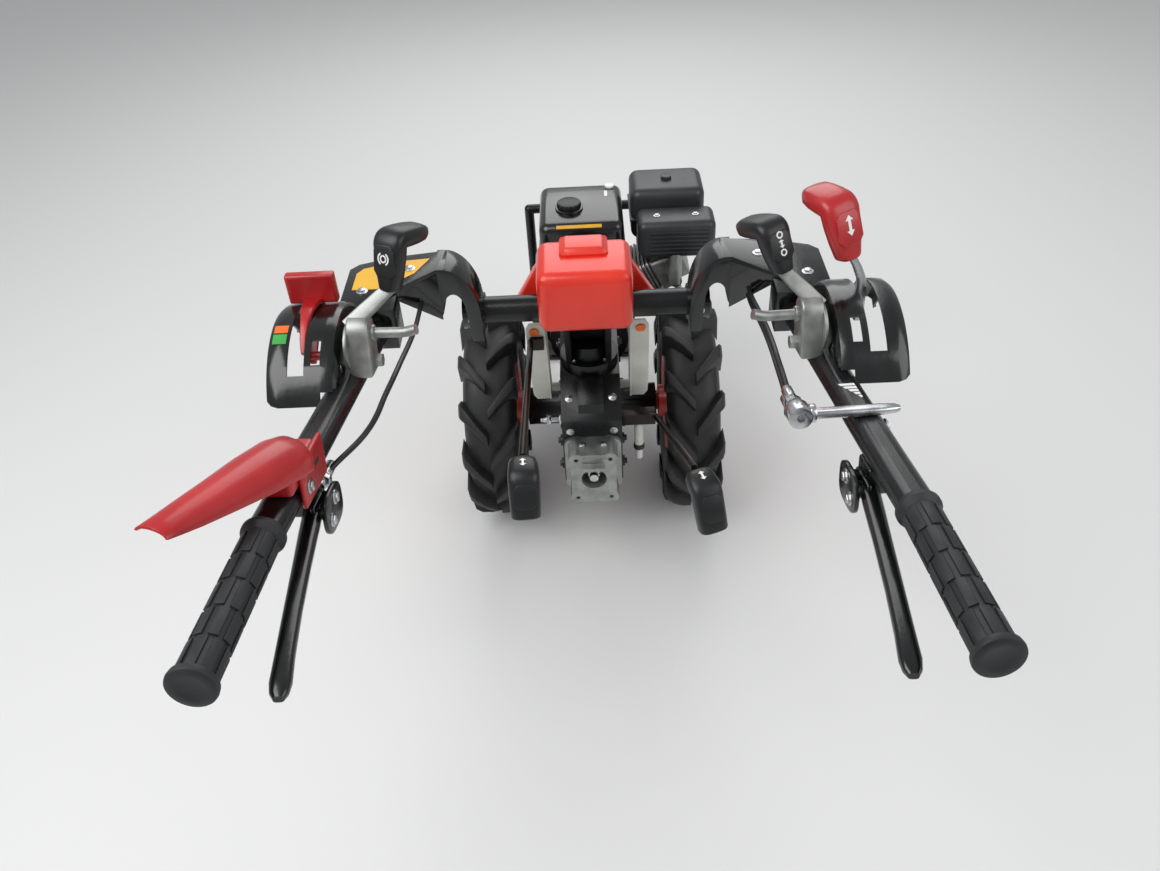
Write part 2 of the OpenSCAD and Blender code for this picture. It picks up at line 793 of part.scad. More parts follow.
module rim() color(red) at_axle() translate([0, 0, axle_z]) rotate([0, 90, 0]) {
    r1 = rim_d / 2;
    mid = track / 2;
    difference() {
        rotate_extrude() polygon([
            [0, sleeve_end - axle_bore_len + hub_gap], [axle_r, sleeve_end - axle_bore_len + hub_gap],
            [axle_r, hub_in], [hub_r, hub_in], [hub_r, mid + disc_offset - disc_t],
            [r1 - rim_t, mid + disc_offset - disc_t], [r1 - rim_t, mid - rim_half_w + rim_t],
            [r1 + rim_lip, mid - rim_half_w], [r1 + rim_lip, mid - rim_half_w + rim_lip_t],
            [r1, mid - rim_half_w + rim_lip_t], [r1, mid + rim_half_w - rim_lip_t],
            [r1 + rim_lip, mid + rim_half_w - rim_lip_t], [r1 + rim_lip, mid + rim_half_w],
            [r1 - rim_t, mid + rim_half_w - rim_t], [r1 - rim_t, mid + disc_offset], [hub_r, mid + disc_offset],
            [hub_r, hub_out], [0, hub_out]]);
        for (i = [0 : window_count - 1]) rotate(i * 360 / window_count)
            translate([window_at, 0, mid + disc_offset - disc_t - over]) cylinder(r = window_r, h = disc_t + 2 * over);
    }
    for (i = [0 : window_count - 1]) rotate((i + 0.5) * 360 / window_count)
        translate([wheel_bolt_at, 0, mid + disc_offset - over])
            cylinder(r = wheel_bolt_r, h = wheel_bolt_h + over, $fn = 6);
}

module tyre_left() on_side(-1) tyre();

module tyre_right() tyre();

module rim_left() on_side(-1) rim();

module rim_right() rim();

// Stand

module stand() color(black) at_axle() difference() {
    union() {
        for (side = [-1, 1]) on_side(side) {
            translate([0, stand_y, stand_z]) x_rod(eye_r, leg_in, leg_in + leg_w);
            rod_between([leg_in + leg_w / 2, stand_y, stand_z - eye_r],
                [leg_in + leg_w / 2, stand_y + foot_forward, stand_r], leg_w / 2);
        }
        translate([0, stand_y + foot_forward, stand_r]) x_rod(stand_r, -leg_in - leg_w, leg_in + leg_w);
    }
    translate([0, stand_y, stand_z]) x_rod(pivot_r + run_gap, -leg_in - leg_w - over, leg_in + leg_w + over);
}

// Column and hood

module column() color(black) at_axle() difference() {
    union() {
        translate([0, -swivel_back, case_top + seat_gap]) {
            cylinder(r = turn_r, h = turn_h);
            cylinder(r = boss_r, h = boss_h);
        }
        for (side = [-1, 1]) side_slab(cheek_t, side * (cheek_in + cheek_t / 2)) polygon([
            [-swivel_back - cheek_foot, case_top + turn_h], [-swivel_back + cheek_foot / 2, case_top + turn_h],
            [-bar_back + cheek_head, bar_z], [-bar_back - cheek_head, bar_z]]);
        side_slab(2 * cheek_in) polygon([
            [-swivel_back + cheek_foot / 2 - web_t, case_top + turn_h],
            [-swivel_back + cheek_foot / 2, case_top + turn_h],
            [-bar_back + cheek_head, bar_z], [-bar_back + cheek_head - web_t, bar_z]]);
        translate([0, -bar_back, bar_z]) x_rod(bearing_r, -bearing_half, bearing_half);
    }
    translate([0, -bar_back, bar_z]) x_rod(bar_r + run_gap, -hood_w, hood_w);
    translate([0, -swivel_back, case_top - over]) cylinder(r = swivel_r + run_gap, h = pin_h + seat_gap + over);
}

module hood() color(red) at_axle() translate([0, -bar_back, 0]) difference() {
    union() {
        soft_box(-hood_w / 2, hood_w / 2, -hood_back, hood_front, hood_low - hood_round, hood_top, hood_round);
        translate([0, hood_front, 0]) rotate([90, 0, 0]) linear_extrude(height = skirt_l) polygon([
            [-skirt_half, hood_low], [skirt_half, hood_low], [skirt_half, hood_low + skirt_rise],
            [skirt_top_half, hood_top - skirt_drop], [-skirt_top_half, hood_top - skirt_drop],
            [-skirt_half, hood_low + skirt_rise]]);
        soft_box(-bump_half, bump_half, hood_front - bump_l, hood_front, hood_top - 2 * bump_h, hood_top + bump_h,
            bump_h);
    }
    soft_box(-hood_w / 2 + wall, hood_w / 2 - wall, -hood_back + wall, hood_front - wall,
        hood_low - 3 * hood_round, hood_top - wall, hood_round - wall);
    translate([-hood_w, -hood_back - over, hood_low - 2 * hood_round])
        cube([2 * hood_w, hood_back + hood_front + 2 * over, 2 * hood_round]);
    translate([0, 0, bar_z]) x_rod(bar_r + notch_gap, -hood_w, hood_w);
    translate([-hood_w, -bar_r - notch_gap, hood_low - over])
        cube([2 * hood_w, 2 * (bar_r + notch_gap), bar_z - hood_low + over]);
}

// Handlebars

module crossbar() color(black) at_axle() translate([0, -bar_back, bar_z]) difference() {
    x_rod(bar_r, -bar_half, bar_half);
    x_rod(bar_r - bar_wall, -bar_half - over, bar_half + over);
}

module shoulder() color(black) at_axle() difference() {
    union() {
        translate([0, -bar_back, bar_z]) x_rod(collar_r, collar_in, collar_in + collar_l);
        difference() {
            translate([0, -shoulder_front, 0]) rotate([90, 0, 0])
                linear_extrude(height = shoulder_rear - shoulder_front) polygon(shoulder_outline);
            translate([0, -shoulder_front + over, 0]) rotate([90, 0, 0])
                linear_extrude(height = shoulder_rear - shoulder_front + over - shoulder_wall)
                    offset(delta = -shoulder_wall) polygon(shoulder_outline);
        }
        translate([0, 0, plate_z]) linear_extrude(height = plate_top_t) polygon(plate_outline);
        translate([0, 0, plate_z - plate_skirt]) linear_extrude(height = plate_skirt) difference() {
            polygon(plate_outline);
            offset(delta = -shoulder_wall) polygon(plate_outline);
        }
        translate([skew_a[0], skew_a[1], 0]) rotate(skew_angle) rotate([90, 0, 0])
            linear_extrude(height = shoulder_wall, center = true)
                polygon([[0, skew_low], [skew_l, plate_z], [0, plate_z]]);
        translate([shoulder_x - saddle_w / 2, -plate_back + plate_corner, shoulder_z - handle_h])
            cube([saddle_w, saddle_l, plate_z - shoulder_z + handle_h]);
    }
    translate([0, -bar_back, bar_z]) x_rod(bar_r + run_gap, 0, collar_in + collar_l + saddle_w);
    handle_outline(run_gap);
}

module shoulder_left() on_side(-1) shoulder();

module shoulder_right() shoulder();

module handle() color(black) at_axle() {
    on_handle() difference() {
        linear_extrude(height = handle_l) round_rect(handle_h, handle_w, handle_h / 2 - stadium_gap);
        translate([0, 0, -over]) linear_extrude(height = handle_l - wall)
            round_rect(handle_h - 2 * wall, handle_w - 2 * wall, handle_h / 2 - wall - stadium_gap);
    }
    along(grip_a, grip_b) cylinder(r = core_r, h = core_l);
}

module handle_left() on_side(-1) handle();

module handle_right() handle();

module grip() color(rubber) at_axle() along(grip_a, grip_b) {
    length = norm(grip_b - grip_a);
    difference() {
        union() {
            translate([0, 0, flange_t]) cylinder(r = grip_r, h = length - flange_t);
            translate([0, 0, length - flange_t]) cylinder(r = flange_r, h = flange_t);
            translate([0, 0, flange_t]) cylinder(r = flange_r, h = flange_t / 2);
        }
        cylinder(r = core_r + run_gap, h = core_l + run_gap);
    }
}

module grip_left() on_side(-1) grip();

module grip_right() grip();

// Turned about X: 90 faces forward, 180 up, 270 back
module about_x(angle, sweep) rotate([0, 90, 0]) rotate(angle) rotate_extrude(angle = sweep) children();

module at_guard() translate([0, -guard_back, guard_z]) children();

module handle_outline(grow) on_handle(-saddle_l) linear_extrude(height = handle_l + saddle_l)
    round_rect(handle_h + 2 * grow, handle_w + 2 * grow, handle_h / 2 - stadium_gap);

module guard() color(black) at_axle() difference() {
    at_guard() about_x(guard_from_angle, guard_sweep_angle) polygon([
        [guard_hub_r, guard_in], [guard_r - wall, guard_in], [guard_r, guard_in + wall], [guard_r, half_width - wall],
        [guard_r - wall, half_width], [guard_lip_r, half_width], [guard_lip_r, half_width - wall],
        [guard_r - wall, half_width - wall], [guard_r - wall, guard_in + wall], [guard_hub_r, guard_in + wall]]);
    at_guard() {
        about_x(slot_from_angle, slot_sweep_angle) translate([guard_r - wall - over, slot_x - slot_w / 2])
            square([wall + 2 * over, slot_w]);
        about_x(oval_from_angle, oval_sweep_angle) translate([guard_r - wall - over, oval_x - oval_w / 2])
            square([wall + 2 * over, oval_w]);
    }
    handle_outline(run_gap);
}

module guard_left() on_side(-1) guard();

module guard_right() guard();

// A flat-sided knob bent along three corners, rounded all over
module bent_knob(path, w) {
    across = unit(cross(path[1] - path[0], path[2] - path[1]));
    hull() for (i = [0 : 2], side = [-1, 1])
        translate(path[i] + side * across * (w / 2 - knob_r) * (i == 0 ? knob_taper_share : 1))
            sphere(knob_r, $fn = 16);
}

module flat_bar(p0, p1, w, t) along(p0, p1)
    translate([-t / 2, -w / 2, 0]) cube([t, w, norm(p1 - p0)]);

module clutch_lever() color(red) at_axle() on_side(-1) {
    flat_bar(clutch_low, clutch_high, lever_stem_t, lever_stem_w);
    translate([0, clutch_low[1], clutch_low[2]])
        x_rod(lever_pin_r, guard_in + wall, clutch_low[0] + lever_stem_t);
    translate(clutch_high) soft_box(-paddle_w / 2, paddle_w / 2, -paddle_t / 2, paddle_t / 2,
        -paddle_t / 2, paddle_h, paddle_t / 2);
}

// Cast hub of a lever, seated on the top and inner side of its handle
module pivot_block() difference() {
    union() {
        on_handle(block_at) translate([-block_up, -block_in - block_w, 0]) cube([block_up, block_w, block_l]);
        on_handle(block_at + block_l / 2) translate([0, -block_in, 0]) {
            translate([-block_disc_up, 0, 0]) rotate([90, 0, 0]) cylinder(r = block_disc_r, h = block_disc_t);
            translate([-block_pin_up, 0, 0]) rotate([90, 0, 0]) cylinder(r = block_pin_r, h = block_w + block_pin_l);
            translate([-block_bolt_up, 0, 0]) rotate([90, 0, 0])
                cylinder(r = block_bolt_r, h = block_w + block_bolt_l, $fn = 6);
        }
    }
    handle_outline(run_gap);
}

module brake_block() color(silver) at_axle() on_side(-1) pivot_block();

module shift_block() color(silver) at_axle() pivot_block();

arm_foot = handle_point([-block_up, -block_in - block_w / 2, block_at + block_l / 2]);

// A lever arm standing on its hub
module hub_lever(path) {
    difference() {
        flat_bar(arm_foot, path[0], arm_w, arm_t);
        pivot_block();
    }
    bent_knob(path, arm_knob_w);
}

module brake_lever() color(black) at_axle() on_side(-1) hub_lever(brake_path);

module throttle_knob() color(black) at_axle() hub_lever(throttle_path);

module shift_knob() color(red) at_axle() {
    flat_bar(shift_low, shift_bend, lever_stem_t, lever_stem_w);
    flat_bar(shift_bend, shift_path[0], lever_stem_t, lever_stem_w);
    translate([0, shift_low[1], shift_low[2]])
        x_rod(lever_pin_r, guard_in + wall, shift_low[0] + lever_stem_t);
    bent_knob(shift_path, shift_knob_w);
}

module throttle_clamp() color(silver) at_axle() on_handle(clamp_at) {
    translate([-handle_h / 2 - clamp_arm_t, -handle_w / 2 - clamp_arm_l, -clamp_arm_w / 2])
        cube([clamp_arm_t, handle_w / 2 + clamp_arm_l + clamp_arm_out, clamp_arm_w]);
    translate([-handle_h / 2 - clamp_arm_t, -handle_w / 2 - clamp_arm_l, -clamp_l / 2])
        cylinder(r = clamp_r, h = clamp_l);
}

// Clevis under the handle and the channel lever that swings from it
module hand_lever() color(black) at_axle() on_handle() {
    translate([handle_h / 2, -bracket_w + bracket_in, hand_at]) cube([bracket_h, bracket_w, bracket_l]);
    along(lever_start, lever_end) difference() {
        union() {
            translate([-lever_h / 2, -lever_w / 2, 0]) cube([lever_h, lever_w, norm(lever_end - lever_start)]);
            translate([-lever_h / 2, 0, norm(lever_end - lever_start)]) rotate([0, 90, 0])
                cylinder(r = lever_w / 2, h = lever_h);
        }
        translate([-lever_h / 2 - over, -lever_w / 2 + lever_wall, bracket_l])
            cube([lever_h + over - lever_wall, lever_w - 2 * lever_wall, norm(lever_end - lever_start)]);
    }
}

module hand_lever_left() on_side(-1) hand_lever();

module hand_lever_right() hand_lever();

// Clamp on the handle and a tapering half-round arm, open below
module red_lever() color(red) at_axle() on_side(-1) {
    difference() {
        on_handle(handle_l - red_back) translate([-handle_h / 2 - red_base_h, -red_w / 2, 0])
            cube([red_base_h + handle_h / 2, red_w, red_l]);
        handle_outline(run_gap);
    }
    along(red_from, red_to) linear_extrude(height = norm(red_to - red_from), scale = red_pipe_share)
        difference() {
            circle(red_pipe_r);
            circle(red_pipe_r - red_pipe_wall);
            translate([0, -red_pipe_r - over]) square([red_pipe_r + over, 2 * (red_pipe_r + over)]);
        }
    along(red_from, red_to) linear_extrude(height = red_cap_t) difference() {
        circle(red_pipe_r);
        translate([red_base_h / 2, -red_pipe_r - over]) square(2 * (red_pipe_r + over));
    }
}

// A round cord along a list of points
function unit(v) = v / norm(v);

function tangent(route, i) = unit(route[min(i + 1, len(route) - 1)] - route[max(i - 1, 0)]);

function ring(p, t, r, n) = let (a = unit(cross(t, [0, 0, 1])), b = cross(t, a))
    [for (j = [0 : n - 1]) p + r * (cos(j * 360 / n) * a + sin(j * 360 / n) * b)];

module cord(route, r, n) {
    last = len(route) - 1;
    polyhedron([for (i = [0 : last], p = ring(route[i], tangent(route, i), r, n)) p], concat(
        [[for (j = [0 : n - 1]) j], [for (j = [n - 1 : -1 : 0]) last * n + j]],
        [for (i = [0 : last - 1], j = [0 : n - 1])
            [i * n + j, (i + 1) * n + j, (i + 1) * n + (j + 1) % n, i * n + (j + 1) % n]]));
}

module cable_left() color(rubber) at_axle() on_side(-1) cord(cable_left_route, cable_r, cable_sides);

module cable_right() color(rubber) at_axle() for (route = [cable_right_inner, cable_right_outer])
    cord(route, cable_r, cable_sides);

// Drawing

gearbox();
pto_housing();
pto_shaft();
bell_housing();
engine_block();
cylinder_head();
carburettor();
air_cleaner();
muffler();
fan_shroud();
recoil_starter();
fuel_tank();
tank_cap();
engine_frame();
bumper();
side_plates();
gear_rod();
gear_knob();
pto_rod();
pto_knob();
tyre_left();
rim_left();
tyre_right();
rim_right();
stand();
column();
hood();
crossbar();
shoulder_left();
shoulder_right();
handle_left();
handle_right();
grip_left();
grip_right();
guard_left();
guard_right();
clutch_lever();
brake_lever();
brake_block();
shift_knob();
throttle_knob();
shift_block();
throttle_clamp();
hand_lever_left();
hand_lever_right();
red_lever();
cable_left();
cable_right();
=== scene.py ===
"""Looks of a two-wheel hand tractor: finishes, moulded pieces, fittings, floor, light and camera."""

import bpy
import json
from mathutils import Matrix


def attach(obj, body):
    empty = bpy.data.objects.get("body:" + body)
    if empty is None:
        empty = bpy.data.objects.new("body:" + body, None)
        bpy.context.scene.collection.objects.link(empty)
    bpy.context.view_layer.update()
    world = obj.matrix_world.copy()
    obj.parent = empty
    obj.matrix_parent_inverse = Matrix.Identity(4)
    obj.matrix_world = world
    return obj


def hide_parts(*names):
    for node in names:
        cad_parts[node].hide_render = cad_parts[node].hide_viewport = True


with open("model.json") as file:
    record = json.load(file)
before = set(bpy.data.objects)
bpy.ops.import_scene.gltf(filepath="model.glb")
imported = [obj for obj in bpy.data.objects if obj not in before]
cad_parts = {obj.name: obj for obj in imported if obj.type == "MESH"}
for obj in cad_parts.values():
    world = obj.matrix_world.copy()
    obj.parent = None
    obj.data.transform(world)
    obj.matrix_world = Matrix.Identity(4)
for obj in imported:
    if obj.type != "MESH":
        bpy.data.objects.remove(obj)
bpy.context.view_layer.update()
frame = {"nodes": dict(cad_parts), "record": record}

import json
import math

import bmesh
import bpy
from mathutils import Matrix, Vector

MM = 0.001


def at(x, y, z):
    """A point given in millimetres from the ground under the axle's middle, in the frame's metres."""
    return Vector((x * MM, (350.0 + y) * MM, z * MM))


# A handle's own directions, as in the part's source: down, outward and along
HANDLE_FROM = Vector((345.0, -450.0, 800.0))
HANDLE_TO = Vector((372.27, -1060.0, 919.4))
HANDLE_L = (HANDLE_TO - HANDLE_FROM).length
ALONG = (HANDLE_TO - HANDLE_FROM).normalized()
OUT = Vector((-ALONG.y, ALONG.x, 0.0)).normalized()
DOWN = OUT.cross(ALONG)
GRIP_FROM = HANDLE_TO
GRIP_TO = Vector((383.0, -1300.0 + 6.0, 947.0))


def on_handle(down, out, along, side=1):
    """A point of the right handle, or of the left one where side is -1."""
    p = HANDLE_FROM + down * DOWN + out * OUT + along * ALONG
    return at(side * p.x, p.y, p.z)


# The photograph's camera, in the frame's metres and in pixels of a 1160 by 871 picture
CAMERA_AT = (0.0179, -1.5202, 1.7275)
CAMERA_PITCH = math.radians(40.064)
CAMERA_YAW = math.radians(-1.570)
CAMERA_ROLL = math.radians(-3.418)
FOCAL_PX = 1000.0
PICTURE_W = 1160.0
SENSOR_MM = 36.0


# Small tools

def deselect():
    if bpy.context.object and bpy.context.object.mode != "OBJECT":
        bpy.ops.object.mode_set(mode="OBJECT")
    bpy.ops.object.select_all(action="DESELECT")


def linear(code):
    """An sRGB hex colour as linear red, green, blue and alpha."""
    parts = [int(code[i:i + 2], 16) / 255 for i in (1, 3, 5)]
    return tuple(p / 12.92 if p <= 0.04045 else ((p + 0.055) / 1.055) ** 2.4 for p in parts) + (1.0,)


def per_mm(size):
    """Texture scale at which one pattern cell is about size millimetres across."""
    return 1.0 / (size * MM)


def add(tree, kind, settings=None, links=None):
    """Adds a node; settings are its attributes or socket values, links are what feeds its sockets."""
    made = tree.nodes.new(kind)
    for key, value in (settings or {}).items():
        if isinstance(key, int) or key in made.inputs:
            made.inputs[key].default_value = value
        else:
            setattr(made, key, value)
    for key, output in (links or {}).items():
        tree.links.new(output, made.inputs[key])
    return made


def material(name, **sockets):
    """A named material with its shader's constant sockets set."""
    made = bpy.data.materials.new(name)
    made.use_nodes = True
    shader = made.node_tree.nodes["Principled BSDF"]
    for key, value in sockets.items():
        shader.inputs[key.replace("_", " ")].default_value = value
    return made, made.node_tree, shader


def textured(name, dark, light, roughness, blotch_mm, grain_mm, bump, grain_detail=2.0, **sockets):
    """A finish with slow colour and gloss changes and a fine grain in its surface."""
    made, tree, shader = material(name, **sockets)
    place = add(tree, "ShaderNodeTexCoord").outputs["Object"]
    blotch = add(tree, "ShaderNodeTexNoise", {"Scale": per_mm(blotch_mm), "Detail": 4.0}, {"Vector": place})
    grain = add(tree, "ShaderNodeTexNoise", {"Scale": per_mm(grain_mm), "Detail": grain_detail}, {"Vector": place})
    ramp = add(tree, "ShaderNodeValToRGB", links={"Fac": blotch.outputs["Fac"]})
    ramp.color_ramp.elements[0].position = 0.32
    ramp.color_ramp.elements[0].color = linear(dark)
    ramp.color_ramp.elements[1].position = 0.68
    ramp.color_ramp.elements[1].color = linear(light)
    gloss = add(tree, "ShaderNodeMapRange", {"From Min": 0.3, "From Max": 0.7, "To Min": roughness[0],
                                             "To Max": roughness[1]}, {"Value": blotch.outputs["Fac"]})
    relief = add(tree, "ShaderNodeBump", {"Strength": bump, "Distance": grain_mm * MM},
                 {"Height": grain.outputs["Fac"]})
    tree.links.new(ramp.outputs["Color"], shader.inputs["Base Color"])
    tree.links.new(gloss.outputs["Result"], shader.inputs["Roughness"])
    tree.links.new(relief.outputs["Normal"], shader.inputs["Normal"])
    return made


# Finishes

# Gloss red ABS: an even, deep red that mirrors lamps softly, with the faint ripple of a moulding
RED_ABS = textured("gloss_red_abs", "#d42816", "#de301b", (0.26, 0.38), 90, 9, 0.03, Coat_Weight=0.25,
                   Coat_Roughness=0.12)
# Deep red nylon of the levers and the shift knob: a cooler red with a satin shine
RED_NYLON = textured("deep_red_nylon", "#a0161a", "#ae1d20", (0.28, 0.4), 70, 6, 0.03, Coat_Weight=0.15)
# Powder-coated steel: deep black with a soft shine and a fine orange peel
BLACK_COAT = textured("black_powder_coat", "#0c0d0e", "#141517", (0.2, 0.32), 70, 1.6, 0.08, Specular_IOR_Level=0.4)
# Painted sand casting: black, duller, with the pebbled skin of the sand mould
BLACK_CASTING = textured("black_painted_casting", "#0b0c0d", "#131416", (0.3, 0.46), 40, 2.4, 0.25,
                         Specular_IOR_Level=0.4)
# Bare die-cast aluminium: pale grey, slightly mottled, with blunt highlights
CAST_ALLOY = textured("die_cast_aluminium", "#8a8c8a", "#a9aba8", (0.36, 0.55), 24, 1.2, 0.22, Metallic=0.85)
# Bright zinc plate: silver with a faint cloud in its shine
ZINC = textured("bright_zinc_plate", "#b4b6b8", "#d0d2d4", (0.18, 0.32), 16, 0.8, 0.06, Metallic=1.0)
# Tyre rubber: charcoal and matte, paler where it has been handled
TYRE_RUBBER = textured("tyre_rubber", "#161617", "#242425", (0.44, 0.62), 55, 1.4, 0.22)
# Blackened zinc plate on the control rods: dark brown-grey with a metal shine
DARK_ZINC = textured("blackened_zinc_plate", "#2e2a28", "#3b3633", (0.3, 0.42), 30, 0.8, 0.05, Metallic=1.0)
# Grip rubber: dark and matte with a fine moulded grain
GRIP_RUBBER = textured("grip_rubber", "#17181a", "#222426", (0.46, 0.62), 30, 0.9, 0.22)
# Moulded black polypropylene: satin black with a spark-eroded grain
BLACK_PLASTIC = textured("black_polypropylene", "#0e0f10", "#17181a", (0.32, 0.44), 60, 1.0, 0.14,
                         Specular_IOR_Level=0.45)
# Moulded grey polypropylene: charcoal grey, satin
GREY_PLASTIC = textured("grey_polypropylene", "#232628", "#2e3133", (0.34, 0.46), 80, 1.0, 0.12)
# Fuel-tank enamel: gloss black over pressed steel
TANK_ENAMEL = textured("tank_black_enamel", "#09090b", "#111113", (0.14, 0.24), 80, 5.0, 0.04, Coat_Weight=0.3)
# Gloss black ABS: deep black guards that mirror the lamps
BLACK_GLOSS = textured("gloss_black_abs", "#080909", "#0f1011", (0.16, 0.26), 70, 6.0, 0.03, Coat_Weight=0.2,
                       Coat_Roughness=0.1)
# Red stove enamel on the wheel rims
RED_ENAMEL = textured("red_stove_enamel", "#b8221a", "#c92a20", (0.25, 0.38), 60, 3.0, 0.06)
# Pale grey paint on flat steel plate
GREY_PAINT = textured("pale_grey_paint", "#b9b8b0", "#c8c7bf", (0.38, 0.5), 50, 2.0, 0.08)
# Vinyl films of the blank marks: flat, even colour with a dull shine
YELLOW_FILM = textured("yellow_vinyl_film", "#cf9a10", "#dca818", (0.36, 0.46), 40, 2.0, 0.02)
WHITE_FILM = textured("white_vinyl_film", "#dededc", "#eaeae8", (0.38, 0.48), 40, 2.0, 0.02)
ORANGE_FILM = textured("orange_vinyl_film", "#d65f16", "#e06c1c", (0.36, 0.46), 40, 2.0, 0.02)
GREEN_FILM = textured("green_vinyl_film", "#2c9038", "#359c42", (0.36, 0.46), 40, 2.0, 0.02)

SLOT_FINISH = {
    "black_paint": BLACK_COAT, "red_paint": RED_ENAMEL, "black_casting": BLACK_CASTING, "cast_alloy": CAST_ALLOY,
    "zinc_steel": ZINC, "tyre_rubber": TYRE_RUBBER, "grip_rubber": GRIP_RUBBER, "black_plastic": BLACK_PLASTIC,
    "red_plastic": RED_ABS, "grey_plastic": GREY_PLASTIC, "grey_plate": GREY_PAINT,
}


def dress_nodes():
    """Every CAD node takes the finish of its slot."""
    slot_of = {part["node"]: part["material_slot"] for part in frame["record"]["subparts"]}
    for name, thing in frame["nodes"].items():
        thing.data.materials.clear()
        thing.data.materials.append(SLOT_FINISH[slot_of[name]])



# Ways of working

def edit(thing):
    """Opens one object for editing, with nothing selected in it."""
    deselect()
    bpy.context.view_layer.objects.active = thing
    thing.select_set(True)
    bpy.ops.object.mode_set(mode="EDIT")
    bpy.ops.mesh.select_mode(type="FACE")
    bpy.ops.mesh.select_all(action="DESELECT")


def pick(thing, test, kind="faces"):
    """Selects the faces, edges or vertices that pass a test of their place."""
    bpy.ops.mesh.select_mode(type={"faces": "FACE", "edges": "EDGE", "verts": "VERT"}[kind])
    shape = bmesh.from_edit_mesh(thing.data)
    for part in getattr(shape, kind):
        part.select_set(test(part))
    shape.select_flush_mode()
    bmesh.update_edit_mesh(thing.data)


def close():
    bpy.ops.object.mode_set(mode="OBJECT")


def modify(thing, kind, **settings):
    """Adds a modifier and applies it."""
    deselect()
    bpy.context.view_layer.objects.active = thing
    thing.select_set(True)
    made = thing.modifiers.new(kind.lower(), kind)
    for key, value in settings.items():
        setattr(made, key, value)
    bpy.ops.object.modifier_apply(modifier=made.name)
    return thing


def block(lo, hi, round_mm, steps=3):
    """A box between two corners in metres, with all its edges rounded."""
    deselect()
    bpy.ops.mesh.primitive_cube_add(size=1.0, location=(Vector(lo) + Vector(hi)) / 2)
    thing = bpy.context.object
    thing.scale = [abs(h - l) for l, h in zip(lo, hi)]
    bpy.ops.object.transform_apply(location=True, rotation=True, scale=True)
    edit(thing)
    bpy.ops.mesh.select_all(action="SELECT")
    bpy.ops.mesh.bevel(offset=round_mm * MM, segments=steps, affect="EDGES")
    close()
    return thing


def rod(start, end, radius, sides=32, round_mm=0.6):
    """A turned rod between two points in metres, with its end edges broken."""
    deselect()
    start, end = Vector(start), Vector(end)
    bpy.ops.mesh.primitive_cylinder_add(vertices=sides, radius=radius, depth=(end - start).length)
    thing = bpy.context.object
    edit(thing)
    pick(thing, lambda f: abs(f.normal.z) > 0.9)
    bpy.ops.mesh.bevel(offset=min(round_mm * MM, radius * 0.4), segments=2, affect="EDGES")
    close()
    thing.data.transform(Matrix.Translation((start + end) / 2) @ (end - start).to_track_quat("Z", "Y").to_matrix().to_4x4())
    return thing


def lay(thing, old, new):
    """Moves the selected loop from its old ring of points to a new one."""
    shape = bmesh.from_edit_mesh(thing.data)
    for v in shape.verts:
        if v.select:
            i = min(range(len(old)), key=lambda k: (old[k] - v.co).length_squared)
            v.co = new[i]
    bmesh.update_edit_mesh(thing.data)


def sweep(rings):
    """A closed body drawn out ring by ring: a disc is extruded, and each new edge is laid on its ring."""
    deselect()
    bpy.ops.mesh.primitive_circle_add(vertices=len(rings[0]), radius=1.0, fill_type="NGON")
    thing = bpy.context.object
    edit(thing)
    bpy.ops.mesh.select_all(action="SELECT")
    start = [v.co.copy() for v in bmesh.from_edit_mesh(thing.data).verts]
    lay(thing, start, rings[0])
    for before, after in zip(rings, rings[1:]):
        bpy.ops.mesh.extrude_region()
        lay(thing, before, after)
    bpy.ops.mesh.select_all(action="SELECT")
    bpy.ops.mesh.normals_make_consistent(inside=False)
    close()
    return thing


def oval_ring(middle, across, upward, half_w, half_t, power=3.2, count=20):
    """A rounded oblong loop about a point, in the plane of two directions."""
    ring = []
    for i in range(count):
        c, s = math.cos(2 * math.pi * i / count), math.sin(2 * math.pi * i / count)
        ring.append(middle + across * half_w * math.copysign(abs(c) ** (2 / power), c)
                    + upward * half_t * math.copysign(abs(s) ** (2 / power), s))
    return ring


def tube(points, radius, sides=16):
    """A round cable along a smooth curve through points in metres."""
    deselect()
    bpy.ops.curve.primitive_bezier_curve_add()
    thing = bpy.context.object
    spline = thing.data.splines[0]
    spline.bezier_points.add(len(points) - 2)
    for knot, p in zip(spline.bezier_points, points):
        knot.co = p
        knot.handle_left_type = knot.handle_right_type = "AUTO"
    thing.location = (0.0, 0.0, 0.0)
    thing.data.bevel_depth = radius
    thing.data.bevel_resolution = sides // 4
    thing.data.use_fill_caps = True
    thing.data.resolution_u = 10
    bpy.ops.object.convert(target="MESH")
    return bpy.context.object


def join(first, *others):
    """Makes several pieces one."""
    deselect()
    for thing in (first,) + others:
        thing.select_set(True)
    bpy.context.view_layer.objects.active = first
    bpy.ops.object.join()
    return first


def copy_of(thing, turn):
    """A copy with its own mesh, moved by a matrix."""
    made = thing.copy()
    made.data = thing.data.copy()
    made.data.transform(turn)
    if turn.determinant() < 0:
        made.data.flip_normals()
    bpy.context.scene.collection.objects.link(made)
    return made


MIRROR = Matrix.Scale(-1.0, 4, (1.0, 0.0, 0.0))


def finish(thing, name, body, look, slot, *nodes, angle=35.0):
    """Names a piece, smooths it, gives it its finish and hangs it on its body in place of its CAD nodes."""
    deselect()
    bpy.context.view_layer.objects.active = thing
    thing.select_set(True)
    bpy.ops.object.transform_apply(location=True, rotation=True, scale=True)
    bpy.ops.object.shade_smooth_by_angle(angle=math.radians(angle))
    thing.name = name
    thing.data.name = name
    thing.data.materials.clear()
    thing.data.materials.append(look)
    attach(thing, body)
    if nodes:
        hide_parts(*nodes)
    return thing


